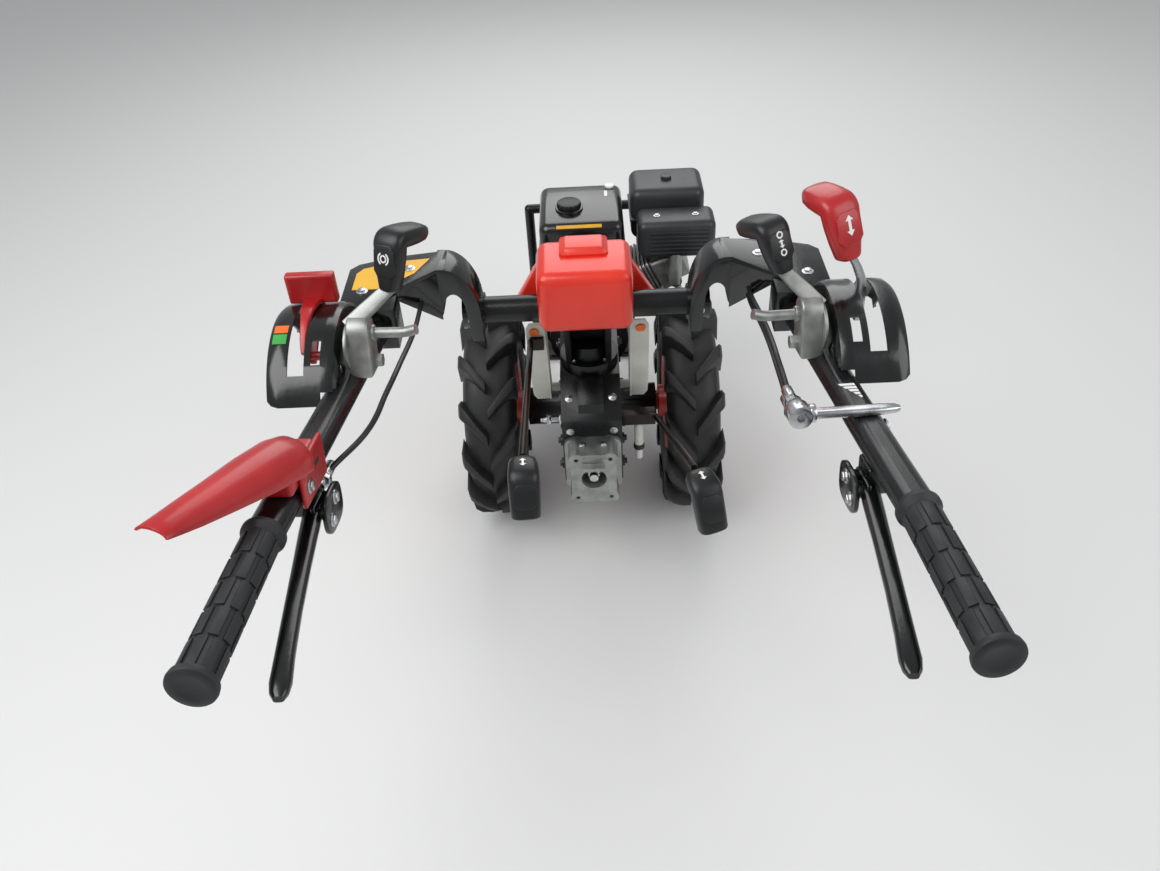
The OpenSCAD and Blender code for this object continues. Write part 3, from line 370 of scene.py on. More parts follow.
SLOT_OF = {part["node"]: part["material_slot"] for part in frame["record"]["subparts"]}
BODY_OF = {node: body for body, nodes in frame["record"]["behaviour"]["bodies"].items() for node in nodes}


def eased(node, width_mm, look=None, steps=2, angle=32.0):
    """A copy of a CAD node with its sharp edges rounded, in the node's place."""
    source = frame["nodes"][node]
    thing = bpy.data.objects.new(node + "_eased", source.data.copy())
    bpy.context.scene.collection.objects.link(thing)
    edit(thing)
    bpy.ops.mesh.select_all(action="SELECT")
    bpy.ops.mesh.remove_doubles(threshold=1e-6)
    bpy.ops.mesh.dissolve_limited(angle_limit=math.radians(0.6))
    close()
    modify(thing, "BEVEL", width=width_mm * MM, segments=steps, limit_method="ANGLE",
           angle_limit=math.radians(angle), use_clamp_overlap=True)
    return finish(thing, node + "_eased", BODY_OF[node], look or SLOT_FINISH[SLOT_OF[node]], SLOT_OF[node], node)


def in_handle(thing, side=1):
    """Takes a piece drawn down, outward and along a handle to its place."""
    turn = Matrix((DOWN, OUT, ALONG)).transposed().to_4x4()
    thing.data.transform(Matrix.Translation(at(*HANDLE_FROM)) @ turn)
    if side < 0:
        thing.data.transform(MIRROR)
        thing.data.flip_normals()
    return thing


def handle_block(lo, hi, round_mm, side=1, steps=3):
    """A soft box between two corners given in millimetres down, outward and along a handle."""
    return in_handle(block([v * MM for v in lo], [v * MM for v in hi], round_mm, steps), side)


def bolts(name, body, spots, head_mm=6.5):
    """One hex bolt with its washer, copied to each spot with its head the way that it faces."""
    master = rod((0, 0, 0.001), (0, 0, 0.001 + 0.75 * head_mm * MM), 1.12 * head_mm * MM, 6, 0.9)
    join(master, rod((0, 0, -0.0006), (0, 0, 0.0015), 1.65 * head_mm * MM, 32, 0.4))
    made = [copy_of(master, Matrix.Translation(spot) @ Vector(face).to_track_quat("Z", "Y").to_matrix().to_4x4())
            for spot, face in spots]
    bpy.data.objects.remove(master)
    join(*made)
    return finish(made[0], name, body, ZINC, "zinc_steel")


def film(corners, face):
    """A thin blank film: its outline in metres, raised the way that it faces."""
    lift = Vector(face).normalized() * 0.0004
    return sweep([[p - lift for p in corners], [p + lift for p in corners]])


# Pieces

def model_hood():
    """Moulded red hood: a soft box open below, a raised pad on top and two sloping flanks ahead of the bar."""
    shell = block(at(-86, -362, 698), at(86, -234, 826), 20, 5)
    edit(shell)
    pick(shell, lambda f: f.calc_center_median().z < 0.7181 and f.normal.z < -0.99)
    bpy.ops.mesh.delete(type="FACE")
    pick(shell, lambda v: v.co.z > 0.80 and v.co.y < 0.05, "verts")
    bpy.ops.transform.translate(value=(0.0, 0.0, -0.006))
    close()
    modify(shell, "SOLIDIFY", thickness=0.003, offset=-1.0)
    cutter = rod(at(-150, -300, 720), at(150, -300, 720), 0.031, 48)
    modify(shell, "BOOLEAN", object=cutter, operation="DIFFERENCE", solver="EXACT")
    bpy.data.objects.remove(cutter)
    pad = block(at(-44, -300, 808), at(44, -236, 836), 9, 4)
    edit(pad)
    pick(pad, lambda f: f.normal.z > 0.5)
    bpy.ops.transform.resize(value=(0.88, 0.86, 1.0), center_override=at(0, -262, 836))
    close()
    flanks = block(at(-134, -262, 700), at(134, -236, 812), 6, 3)
    edit(flanks)
    pick(flanks, lambda v: v.co.z > 0.76, "verts")
    bpy.ops.transform.resize(value=(0.56, 1.0, 1.0), center_override=at(0, -249, 812))
    close()
    join(shell, pad, flanks)
    finish(shell, "hood_shell", "column", RED_ABS, "red_plastic", "hood")


def model_tyres():
    """Carcass turned about the axle, with one bevelled bar lug copied round each half in a chevron."""
    section = ((-45, 127.6), (-46, 140), (-54, 146), (-58, 158), (-59, 176), (-56, 196), (-49, 212), (-40, 220),
               (-22, 224), (0, 225), (22, 224), (40, 220), (49, 212), (56, 196), (59, 176), (58, 158), (54, 146),
               (46, 140), (45, 127.6))
    deselect()
    bpy.ops.mesh.primitive_circle_add(vertices=len(section), fill_type="NOTHING")
    carcass = bpy.context.object
    edit(carcass)
    shape = bmesh.from_edit_mesh(carcass.data)
    for v, (x, r) in zip(shape.verts, section):
        v.co = at(224.5 + x, 0, 252.5 + r)
    bmesh.update_edit_mesh(carcass.data)
    bpy.ops.mesh.select_all(action="SELECT")
    bpy.ops.mesh.spin(steps=80, angle=2 * math.pi, center=at(224.5, 0, 252.5), axis=(1, 0, 0))
    bpy.ops.mesh.select_all(action="SELECT")
    bpy.ops.mesh.remove_doubles(threshold=1e-5)
    bpy.ops.mesh.normals_make_consistent(inside=False)
    close()
    lugs = []
    for half in (-1, 1):
        rings = []
        for x, turn, low, high, width in ((1, 0.0, 214, 252, 12), (24, 6.5, 212, 251.5, 14), (45, 12.5, 202, 248, 17),
                                          (58, 15.5, 186, 241, 19), (63.5, 16.5, 174, 226, 18)):
            middle = math.radians(turn)
            ring = []
            for r, lean in ((low, 1.25), (high, 0.82)):
                for sign in ((-1, 1) if r == low else (1, -1)):
                    a = middle + sign * width * lean / r
                    ring.append(at(224.5 + half * x, r * math.sin(a), 252.5 + r * math.cos(a)))
            rings.append(ring)
        lug = sweep(rings)
        modify(lug, "BEVEL", width=0.003, segments=2, limit_method="ANGLE", angle_limit=math.radians(30))
        hub = Matrix.Translation(at(224.5, 0, 252.5))
        for i in range(13):
            step = 2 * math.pi * (i + (0.0 if half < 0 else 0.5)) / 13
            lugs.append(copy_of(lug, hub @ Matrix.Rotation(-step, 4, "X") @ hub.inverted()))
        bpy.data.objects.remove(lug)
    join(carcass, *lugs)
    left = copy_of(carcass, MIRROR)
    finish(carcass, "tyre_right_lugged", "wheel_right", TYRE_RUBBER, "tyre_rubber", "tyre_right", angle=42)
    finish(left, "tyre_left_lugged", "wheel_left", TYRE_RUBBER, "tyre_rubber", "tyre_left", angle=42)


def model_grips():
    """Rubber sleeve with a collar, a flanged end and rows of raised pads."""
    start, end = at(*GRIP_FROM), at(*GRIP_TO)
    axis = (end - start).normalized()
    side = axis.cross(Vector((0, 0, 1))).normalized()
    over = side.cross(axis)
    length = (end - start).length

    def ring(along, radius):
        return [start + axis * along + radius * (math.cos(a) * side + math.sin(a) * over)
                for a in (2 * math.pi * k / 40 for k in range(40))]
    turned = ((0.4, 20), (0.4, 25), (3, 26.5), (8, 26.5), (12, 23), (15, 20.5), (225, 20.5), (228, 22.5), (231, 26.2),
              (236, 27), (239, 26.4), (240.4, 24.5), (240.6, 16), (239.6, 14))
    sleeve = sweep([ring(a * MM * length / 0.2412, r * MM) for a, r in turned])
    pads = []
    master = block((-0.0055, -0.0195, -0.0012), (0.0055, 0.0195, 0.0012), 1.1, 2)
    for row in range(5):
        for k in range(8):
            a = 2 * math.pi * (k + 0.5 * (row % 2)) / 8
            up = math.cos(a) * side + math.sin(a) * over
            turn = Matrix((axis.cross(up), axis, up)).transposed().to_4x4()
            place = Matrix.Translation(start + axis * (37.0 + 41.8 * row) * MM + up * 0.0212)
            pads.append(copy_of(master, place @ turn))
    bpy.data.objects.remove(master)
    join(sleeve, *pads)
    left = copy_of(sleeve, MIRROR)
    finish(sleeve, "grip_right_padded", "handlebar", GRIP_RUBBER, "grip_rubber", "grip_right")
    finish(left, "grip_left_padded", "handlebar", GRIP_RUBBER, "grip_rubber", "grip_left")


def bent_knob(path, width, thick, neck=0.62):
    """A moulded lever knob: an oblong section drawn up the face, rolled over the crown and out to the front end."""
    low, crown, front = (at(*p) for p in path)
    across = (crown - low).cross(front - crown).normalized()
    up, ahead = (crown - low).normalized(), (front - crown).normalized()
    stations = []
    for t, share in ((-0.07, 0.8), (-0.045, 0.94), (0.0, 1.0), (0.3, 1.0), (0.62, 1.0), (0.86, 1.0)):
        swell = 1.0 - (1.0 - neck) * max(0.0, 1.0 - t / 0.86) ** 1.6
        stations.append((low + (crown - low) * t, up, swell * share, share))
    for k in range(1, 6):
        turn = k / 6
        heading = (up * (1 - turn) + ahead * turn).normalized()
        corner = crown + (low - crown) * 0.14 * (1 - turn) ** 2 + (front - crown) * 0.22 * turn ** 2
        stations.append((corner, heading, 1.0, 1.0))
    for t, wide, tall in ((0.4, 0.98, 1.0), (0.7, 0.93, 0.96), (0.92, 0.84, 0.86), (1.06, 0.66, 0.62), (1.12, 0.4, 0.34)):
        stations.append((crown + (front - crown) * t, ahead, wide, tall))
    rings = [oval_ring(p, across, heading.cross(across), width / 2 * MM * wide, thick / 2 * MM * tall)
             for p, heading, wide, tall in stations]
    return sweep(rings)


KNOBS = (("shift_knob_moulded", ((383, -608, 983), (366, -588, 1052), (340, -540, 1050)), 58, 32, "shift_knob"),
         ("brake_knob_moulded", ((-279, -613, 968), (-271, -594, 1036), (-240, -540, 1018)), 50, 30, "brake_lever"),
         ("throttle_knob_moulded", ((289, -613, 968), (272, -594, 1026), (246, -543, 1003)), 50, 30, "throttle_knob"),
         ("gear_knob_moulded", ((-98, -810, 686), (-98, -786, 738), (-101, -748, 738)), 48, 30, "gear_knob"),
         ("pto_knob_moulded", ((182, -800, 633), (172, -776, 691), (161, -746, 697)), 48, 30, "pto_knob"))


def facing(path):
    """A knob's face: its low point and crown, and the ways across, up and out towards the operator."""
    low, crown, front = (at(*p) for p in path)
    up = (crown - low).normalized()
    across = (crown - low).cross(front - crown).normalized()
    if across.x < 0:
        across = -across
    return low, crown, across, up, across.cross(up)


def knob_panel(path, width, thick):
    """A raised octagonal panel on a knob's face."""
    low, crown, across, up, out = facing(path)
    wide, high = 0.36 * width * MM, 0.34 * (crown - low).length
    middle = low.lerp(crown, 0.56)
    corners = ((1, 0.62), (0.62, 1), (-0.62, 1), (-1, 0.62), (-1, -0.62), (-0.62, -1), (0.62, -1), (1, -0.62))
    return sweep([[middle + across * wide * share * x + up * high * share * y + out * lift * MM for x, y in corners]
                  for lift, share in ((0.74 * thick / 2, 1.0), (thick / 2 + 0.5, 1.0), (thick / 2 + 1.1, 0.93))])


def model_knobs():
    """The five lever knobs, with panels on their faces, and the arms of the two that stand on hubs."""
    for name, path, width, thick, node in KNOBS:
        knob = bent_knob(path, width, thick, 0.94 if node in ("gear_knob", "pto_knob") else 0.6)
        panel = knob_panel(path, width, thick)
        modify(panel, "BEVEL", width=0.0005, segments=2, limit_method="ANGLE", angle_limit=math.radians(25))
        join(knob, panel)
        look = RED_NYLON if node == "shift_knob" else BLACK_PLASTIC
        slot = "red_plastic" if node == "shift_knob" else "black_plastic"
        finish(knob, name, BODY_OF[node], look, slot, node)
    for name, side, low in (("brake_arm", -1, (-279, -613, 968)), ("throttle_arm", 1, (289, -613, 968))):
        foot = on_handle(-92, -20, 212, side)
        top = at(*low)
        lean = (top - foot).normalized()
        across = lean.cross(Vector((0, -1, 1))).normalized()
        face = across.cross(lean)
        rings = [oval_ring(foot + (top - foot) * t, across, face, w * MM, h * MM, 5.0, 16)
                 for t, w, h in ((-0.2, 12, 6), (0.25, 12, 5.5), (0.75, 10.5, 5), (1.1, 9, 5))]
        arm = sweep(rings)
        finish(arm, name, "handlebar", CAST_ALLOY, "cast_alloy")
    stem = sweep([oval_ring(at(x, y, z), Vector((1, 0, 0)), Vector((0, 1, -0.1)), 0.0068, 0.0068, 6.0, 16)
                  for x, y, z in ((408, -618, 880), (408, -615, 915), (407, -612, 944), (398, -610, 966), (385, -608, 988))])
    finish(stem, "shift_stem", "handlebar", ZINC, "zinc_steel")


def model_guards():
    """Lever guard turned from a channel section, with the slots cut out of its back."""
    section = [(358, 60), (358, 112), (358, 134), (361, 142), (369, 145), (379, 145), (393, 145), (402, 145), (426, 145),
               (440, 145), (450, 144), (457, 139), (460, 128), (460, 112)]
    deselect()
    bpy.ops.mesh.primitive_circle_add(vertices=len(section), fill_type="NOTHING")
    guard = bpy.context.object
    edit(guard)
    shape = bmesh.from_edit_mesh(guard.data)
    shape.verts.ensure_lookup_table()
    first = math.radians(112 - 90)
    for v, (x, r) in zip(shape.verts, section):
        v.co = at(x, -627 + r * math.cos(first), 785 + r * math.sin(first))
    bmesh.update_edit_mesh(guard.data)
    pick(guard, lambda e: e.calc_length() > 0.06 and abs(e.verts[0].co.x - e.verts[1].co.x) > 0.09, "edges")
    bpy.ops.mesh.delete(type="EDGE")
    bpy.ops.mesh.select_all(action="SELECT")
    bpy.ops.mesh.spin(steps=64, angle=math.radians(127), center=at(0, -627, 785), axis=(-1, 0, 0))
    bpy.ops.mesh.select_all(action="SELECT")
    bpy.ops.mesh.remove_doubles(threshold=1e-5)

    def turn_of(c):
        y, z = c.y / MM - 350 + 627, c.z / MM - 785
        return c.x / MM, math.hypot(y, z), math.degrees(math.atan2(z, y)) + 90

    def place(f):
        return turn_of(f.calc_center_median())
    shape = bmesh.from_edit_mesh(guard.data)
    for v in shape.verts:
        x, r, turn = turn_of(v.co)
        back = 8.0 * (1 - math.sqrt(1 - min(1.0, max(0.0, (x - 438) / 22)) ** 2))
        kept = math.radians(min(max(turn, 112 + back), 239 - back) - 90)
        v.co = at(x, -627 + r * math.cos(kept), 785 + r * math.sin(kept))
    bmesh.update_edit_mesh(guard.data)

    def in_slot(f):
        x, r, turn = place(f)
        return r > 138 and ((402 < x < 426 and 126 < turn < 222) or (379 < x < 393 and 199 < turn < 216))

    def under_tube(f):
        x, r, turn = place(f)
        c = f.calc_center_median()
        return x < 380 and (c.z / MM) < 800 + (-450 - (c.y / MM - 350)) * 119.4 / 610 + 19
    pick(guard, lambda f: in_slot(f) or under_tube(f))
    bpy.ops.mesh.delete(type="FACE")
    bpy.ops.mesh.select_all(action="SELECT")
    bpy.ops.mesh.normals_make_consistent(inside=False)
    close()
    modify(guard, "SOLIDIFY", thickness=0.003, offset=-1.0)
    modify(guard, "BEVEL", width=0.0007, segments=2, limit_method="ANGLE", angle_limit=math.radians(50))
    left = copy_of(guard, MIRROR)
    finish(guard, "guard_right_moulded", "handlebar", BLACK_GLOSS, "black_plastic", "guard_right")
    finish(left, "guard_left_moulded", "handlebar", BLACK_GLOSS, "black_plastic", "guard_left")


def model_tank():
    """Pressed tank of two halves with a rolled seam, and a ribbed screw cap on a neck."""
    body = block(at(-107, 205, 494), at(92, 420, 614), 22, 6)
    seam = block(at(-110, 202, 541), at(95, 423, 546), 2, 2)
    edit(seam)
    pick(seam, lambda e: abs((e.verts[0].co - e.verts[1].co).z) > 0.0005, "edges")
    close()
    modify(seam, "BEVEL", width=0.0008, segments=1, limit_method="ANGLE", angle_limit=math.radians(40))
    feet = [rod(at(x, y, 452), at(x, y, 512), 0.010) for x in (-77, 62) for y in (235, 370)]
    neck = rod(at(-35, 290, 610), at(-35, 290, 619), 0.033, 48, 2.0)
    join(body, seam, neck, *feet)
    finish(body, "fuel_tank_pressed", "chassis", TANK_ENAMEL, "black_plastic", "fuel_tank")
    cap = rod(at(-35, 290, 616), at(-35, 290, 632), 0.027, 64, 3.0)
    ribs = []
    for k in range(16):
        a = 2 * math.pi * k / 16
        x, y = -35 + 26.6 * math.cos(a), 290 + 26.6 * math.sin(a)
        ribs.append(rod(at(x, y, 617), at(x, y, 630), 0.0022, 10))
    join(cap, *ribs)
    finish(cap, "tank_cap_ribbed", "chassis", BLACK_PLASTIC, "black_plastic", "tank_cap")


def model_boxes():
    """Air cleaner and muffler cover, as soft moulded boxes; the cover's back is louvred."""
    cleaner = block(at(112, 302, 512), at(288, 436, 642), 22, 6)
    lid = block(at(109, 299, 566), at(291, 439, 571), 1.8, 2)
    knob = rod(at(200, 369, 640), at(200, 369, 650), 0.014, 6, 2.0)
    join(cleaner, lid, knob)
    finish(cleaner, "air_cleaner_moulded", "chassis", GREY_PLASTIC, "grey_plastic", "air_cleaner")
    cover = block(at(124, 207, 512), at(306, 300, 606), 18, 5)
    slats = []
    for k in range(6):
        slats.append(block(at(150, 203.5, 528 + 10.5 * k), at(290, 209, 533 + 10.5 * k), 1.6, 2))
    pipe = tube([at(213, 215, 445), at(213, 215, 480), at(213, 222, 520)], 0.015)
    joint = rod(at(213, 258, 452), at(213, 205, 452), 0.0155)
    join(cover, *slats)
    finish(cover, "muffler_cover", "chassis", GREY_PLASTIC, "grey_plastic", "muffler")
    join(pipe, joint)
    finish(pipe, "exhaust_pipe", "chassis", CAST_ALLOY, "cast_alloy")


def model_engine_side():
    """Cast cover with bolts on the crankcase's left face, and the oil plug and filler beside it."""
    across, upward = Vector((0, 1, 0)), Vector((0, 0, 1))
    middle = at(-130, 292, 360)
    cover = sweep([oval_ring(middle + Vector((-out * MM, 0, 0)), across, upward, half_y * MM, half_z * MM, 4.5, 40)
                   for out, half_y, half_z in ((-1, 84, 70), (6, 84, 70), (9, 81, 67), (9.2, 66, 52), (5, 64, 50))])
    ribs = [block(at(-138, 292 + gap - 2.5, 322), at(-130, 292 + gap + 2.5, 398), 1.2, 2) for gap in (-36, -18, 0, 18, 36)]
    join(cover, *ribs)
    finish(cover, "crankcase_cover", "chassis", CAST_ALLOY, "cast_alloy")
    spots = [(at(-139, 292 + 74 * math.cos(a), 360 + 60 * math.sin(a)), (-1, 0, 0))
             for a in (2 * math.pi * k / 8 + 0.39 for k in range(8))]
    bolts("crankcase_bolts", "chassis", spots, 4.5)
    filler = rod(at(-124, 214, 300), at(-152, 206, 306), 0.013, 12, 2.0)
    join(filler, rod(at(-124, 214, 300), at(-136, 210.6, 302.6), 0.0175, 32, 1.5))
    finish(filler, "oil_filler", "chassis", BLACK_PLASTIC, "black_plastic")


# Rear edges of the side plates, as in the part's source
PLATE_OUT = 86
PLATE_FOOT = (-205, 432)
PLATE_TOP = (-265, 660)


def model_gear_fittings():
    """Adjusting studs on the gear case, the spring tube under the take-off lug and the side plates' turned edges."""
    studs = []
    for x, y, z, reach in ((-62, -240, 402, 40), (62, -222, 380, 36)):
        way = 1 if x > 0 else -1
        for first, last, radius, sides in ((-3, reach, 5, 24), (0, 6, 10.5, 6), (reach - 17, reach - 10, 9.5, 6),
                                           (reach - 10, reach - 8, 12, 32), (reach - 1, reach + 5, 4, 24)):
            studs.append(rod(at(x + way * first, y, z), at(x + way * last, y, z), radius * MM, sides))
    join(*studs)
    finish(studs[0], "adjusting_studs", "chassis", ZINC, "zinc_steel")
    spring = rod(at(98, -255, 405), at(98, -258, 340), 0.0095, 40, 1.5)
    join(spring, rod(at(98, -258.3, 334), at(98, -259.6, 306), 0.0075, 32, 1.5),
         *[rod(at(98, -255.6 - k * 0.3, 392 - 7 * k), at(98, -255.7 - k * 0.3, 389 - 7 * k), 0.0102, 40, 1.2) for k in range(7)])
    finish(spring, "spring_tube", "chassis", GREY_PAINT, "grey_plate")
    collar = rod(at(98, -257.8, 344), at(98, -258.4, 332), 0.0115, 40, 1.5)
    finish(collar, "spring_collar", "chassis", BLACK_PLASTIC, "black_plastic")
    edges = []
    for side in (-1, 1):
        foot, top = at(side * PLATE_OUT, *PLATE_FOOT), at(side * PLATE_OUT, *PLATE_TOP)
        lean = (top - foot).normalized()
        across = Vector((side, 0, 0))
        back = Vector((1, 0, 0)).cross(lean)
        outline = ((-3, 0), (26, 0), (33, 0.06), (34, 0.2), (34, 0.8), (33, 0.94), (26, 1), (-3, 1))
        rings = [[foot + across * x * MM + (top - foot) * t + back * deep * MM for x, t in outline] for deep in (-4.2, -0.2)]
        edge = sweep(rings)
        modify(edge, "BEVEL", width=0.0007, segments=2, limit_method="ANGLE", angle_limit=math.radians(40))
        edges.append(edge)
    join(*edges)
    finish(edges[0], "side_plate_edges", "chassis", GREY_PAINT, "grey_plate")


CABLE_RIGHT = ((281, -400.2, 806), (281, -425, 808), (284, -490, 818), (281, -560, 842), (277, -650, 868),
               (274, -740, 884))
CABLE_LEFT = ((281, -400.2, 806), (281, -425, 808), (279, -490, 818), (276, -560, 838), (276, -650, 862),
              (284, -740, 872), (300, -820, 868))


def model_cables():
    """Sheathed cables on the CAD routes, with zinc ferrules and screw adjusters at their ends."""
    clamp = [on_handle(-23, -89, HANDLE_L - 196 - 13 - g) for g in (30.3, 0.3)]
    bracket = [on_handle(36, -15, HANDLE_L - 156 - g, -1) for g in (30.3, 0.3)]
    drop = Vector((0, 0, -14 * MM))
    inner = tube([at(*p) for p in CABLE_RIGHT] + clamp, 0.004)
    outer = tube([at(*p) + drop for p in CABLE_RIGHT] + [p + drop for p in clamp], 0.004)
    join(inner, outer)
    finish(inner, "cables_right", "handlebar", BLACK_PLASTIC, "black_plastic", "cable_right")
    left = tube([at(-x, y, z) for x, y, z in CABLE_LEFT] + bracket, 0.004)
    finish(left, "cable_left_sheath", "handlebar", BLACK_PLASTIC, "black_plastic", "cable_left")
    ferrules = []
    for near, far in ((clamp[1], clamp[0]), (clamp[1] + drop, clamp[0] + drop), (bracket[1], bracket[0])):
        lean = (far - near).normalized()
        ferrules += [rod(near, near + lean * 0.014, 0.0066, 24), rod(near + lean * 0.012, near + lean * 0.024, 0.0115, 6),
                     rod(near + lean * 0.024, near + lean * 0.029, 0.0098, 6),
                     rod(near + lean * 0.027, near + lean * 0.058, 0.0078, 24)]
    join(*ferrules)
    finish(ferrules[0], "cable_adjusters", "handlebar", ZINC, "zinc_steel")


def model_hubs():
    """Cast hubs of the two lever arms: a rounded block on a disc, with a bent pin and a bolt."""
    outline = [(-10, 239), (-40, 236)] + [(-76 - 22 * math.sin(math.pi * k / 12), 212 + 22 * math.cos(math.pi * k / 12))
                                          for k in range(13)] + [(-40, 188), (-10, 185)]
    hub = sweep([[on_handle(down, out, along) for down, along in outline] for out in (-8, -41)])
    modify(hub, "BEVEL", width=0.004, segments=3, limit_method="ANGLE", angle_limit=math.radians(40))
    disc = rod(on_handle(-52, -5, 212), on_handle(-52, -10, 212), 0.036, 64, 1.2)
    collar = rod(on_handle(-72, -40, 212), on_handle(-72, -47, 212), 0.012, 32, 1.5)
    pin = tube([on_handle(*p) for p in ((-72, -36, 212), (-72, -70, 212), (-73, -92, 213), (-78, -109, 216))], 0.0078, 24)
    screw = rod(on_handle(-28, -40, 212), on_handle(-28, -53, 212), 0.0105, 6, 1.2)
    join(hub, disc, collar, pin, screw)
    left = copy_of(hub, MIRROR)
    finish(hub, "lever_hub_right", "handlebar", CAST_ALLOY, "cast_alloy", "shift_block")
    finish(left, "lever_hub_left", "handlebar", CAST_ALLOY, "cast_alloy", "brake_block")


def model_clamp():
    """Zinc clamp: a drilled barrel beside the handle and a tapering lever across it."""
    along = HANDLE_L - 196
    barrel = rod(on_handle(-23, -89, along - 13), on_handle(-23, -89, along + 13), 0.016, 48, 1.6)
    drill = rod(on_handle(-23, -89, along + 4), on_handle(-23, -89, along + 30), 0.0055, 24)
    modify(barrel, "BOOLEAN", object=drill, operation="DIFFERENCE", solver="EXACT")
    bpy.data.objects.remove(drill)
    lever = sweep([oval_ring(on_handle(-22, out, along), ALONG, DOWN, wide * MM, tall * MM, 3.2, 24)
                   for out, wide, tall in ((-86, 8, 6), (-40, 9, 6), (-10, 10, 6), (20, 9, 5.5), (36, 7, 5), (42, 4, 3.5))])
    ring = rod(on_handle(-23, -76, along), on_handle(-23, -68, along), 0.0125, 32, 1.2)
    join(barrel, lever, ring)
    finish(barrel, "throttle_clamp_formed", "handlebar", ZINC, "zinc_steel", "throttle_clamp")


def model_clutch_lever():
    """Red tee lever: a bordered paddle, a wedge stem down through the slot and its pivot pin."""
    paddle = block(at(-445, -576, 922), at(-371, -560, 970), 3)
    edit(paddle)
    pick(paddle, lambda f: f.normal.y < -0.99 and f.calc_area() > 0.001)
    bpy.ops.mesh.inset(thickness=0.0035, depth=-0.0012)
    close()
    stem = sweep([oval_ring(at(-408, y, z), Vector((1, 0, 0)), Vector((0, 0.66, 0.75)), wide * MM, 0.005, 5.0, 20)
                  for y, z, wide in ((-562, 934, 13), (-580, 916, 12), (-606, 897, 9), (-646, 866, 5))])
    wedge = []
    for turn, radius, wide in ((63, 150, 13), (74, 151, 12.5), (86, 150.6, 9.5), (96, 146, 6), (106, 138, 5), (114, 128, 4)):
        a = math.radians(turn)
        spoke = Vector((0, math.cos(a), math.sin(a)))
        wedge.append(oval_ring(at(-408, -627, 785) + spoke * radius * MM, Vector((1, 0, 0)), spoke, wide * MM, 0.0045, 5.0, 20))
    pin = rod(at(-361.4, -640, 870), at(-416, -640, 870), 0.007)
    join(paddle, stem, sweep(wedge), pin)
    finish(paddle, "clutch_lever_moulded", "handlebar", RED_NYLON, "red_plastic", "clutch_lever")


def model_hand_levers():
    """Bowed, rounded hand levers on clevis brackets under the handles."""
    start, end = Vector((44, -14, HANDLE_L - 134)), Vector((72, -60, HANDLE_L + 186))
    lean = (on_handle(*end) - on_handle(*start)).normalized()
    across = lean.cross(DOWN).normalized()
    rings = []
    for t, bow, wide, tall in ((-0.02, 0, 8, 6), (0.0, 0, 11, 8), (0.06, 0, 12.5, 9), (0.2, -2, 12, 9), (0.4, -4, 11, 8),
                               (0.65, -5, 10.5, 7.5), (0.85, -3, 11, 7.5), (0.95, 0, 12, 7.5), (0.99, 1, 10, 6.5),
                               (1.01, 2, 6, 4.5)):
        p = start.lerp(end, t)
        rings.append(oval_ring(on_handle(p.x + bow, p.y, p.z), across, lean.cross(across), wide * MM, tall * MM, 2.8, 24))
    lever = sweep(rings)
    clevis = handle_block((17.4, -20, HANDLE_L - 156), (55, 10, HANDLE_L - 112), 4)
    cheek = handle_block((30, -26, HANDLE_L - 146), (58, -19, HANDLE_L - 96), 3)
    ear = sweep([oval_ring(on_handle(50, out, HANDLE_L - 130), DOWN, ALONG, 0.028, 0.036, 3.0, 32) for out in (-40, -34)])
    modify(ear, "BEVEL", width=0.0012, segments=2, limit_method="ANGLE", angle_limit=math.radians(50))
    spacers = [rod(on_handle(down, -36, HANDLE_L - gap), on_handle(down, -20, HANDLE_L - gap), 0.008)
               for down, gap in ((38, 136), (44, 106))]
    join(lever, clevis, cheek, ear, *spacers)
    left = copy_of(lever, MIRROR)
    finish(lever, "hand_lever_right_rounded", "handlebar", BLACK_GLOSS, "black_plastic", "hand_lever_right")
    finish(left, "hand_lever_left_rounded", "handlebar", BLACK_GLOSS, "black_plastic", "hand_lever_left")


def model_red_lever():
    """Moulded lever over the left grip: a gutter open below, drawn from a full root to a flat scooped tip."""
    root, tip = on_handle(-31, 0, HANDLE_L - 98), at(447.6, -1150, 1006)
    lean = (tip - root).normalized()
    side = lean.cross(Vector((0, 0, 1))).normalized()
    over = side.cross(lean)
    rings = []
    for t, half, tall, lift in ((-0.08, 30, 30, 0), (-0.03, 36, 37, 0), (0.08, 39, 40, 0), (0.3, 37, 36, 0),
                                (0.55, 31, 29, 0), (0.78, 26, 22, 1), (0.92, 23, 15, 3), (1.0, 22, 9, 5)):
        middle = root + (tip - root) * t + over * lift * MM
        ring = []
        for inset, turn in ((0.0, 1), (3.6, -1)):
            for k in range(17)[::turn]:
                a = math.pi * k / 16
                ring.append(middle + side * (half - inset) * MM * math.cos(a) + over * (tall - inset) * MM * math.sin(a))
        rings.append(ring)
    arm = sweep(rings)
    modify(arm, "BEVEL", width=0.0012, segments=2, limit_method="ANGLE", angle_limit=math.radians(50))
    arm.data.transform(MIRROR)
    arm.data.flip_normals()
    saddle = handle_block((-42, -24, HANDLE_L - 152), (-17.2, 24, HANDLE_L - 44), 7, -1, 4)
    cheek = handle_block((-46, -30, HANDLE_L - 158), (12, -23.4, HANDLE_L - 66), 3, -1)
    join(arm, saddle, cheek)
    finish(arm, "red_lever_moulded", "handlebar", RED_NYLON, "red_plastic", "red_lever")
    # The slot in the cheek is not cut: a black strip laid on the cheek stands in for it, and its black is painted shade
    # of the opening.
    slot = handle_block((-26, -31, HANDLE_L - 130), (-20, -29.6, HANDLE_L - 112), 0.6, -1)
    finish(slot, "red_lever_slot_painted_shade", "handlebar", BLACK_PLASTIC, "black_plastic")


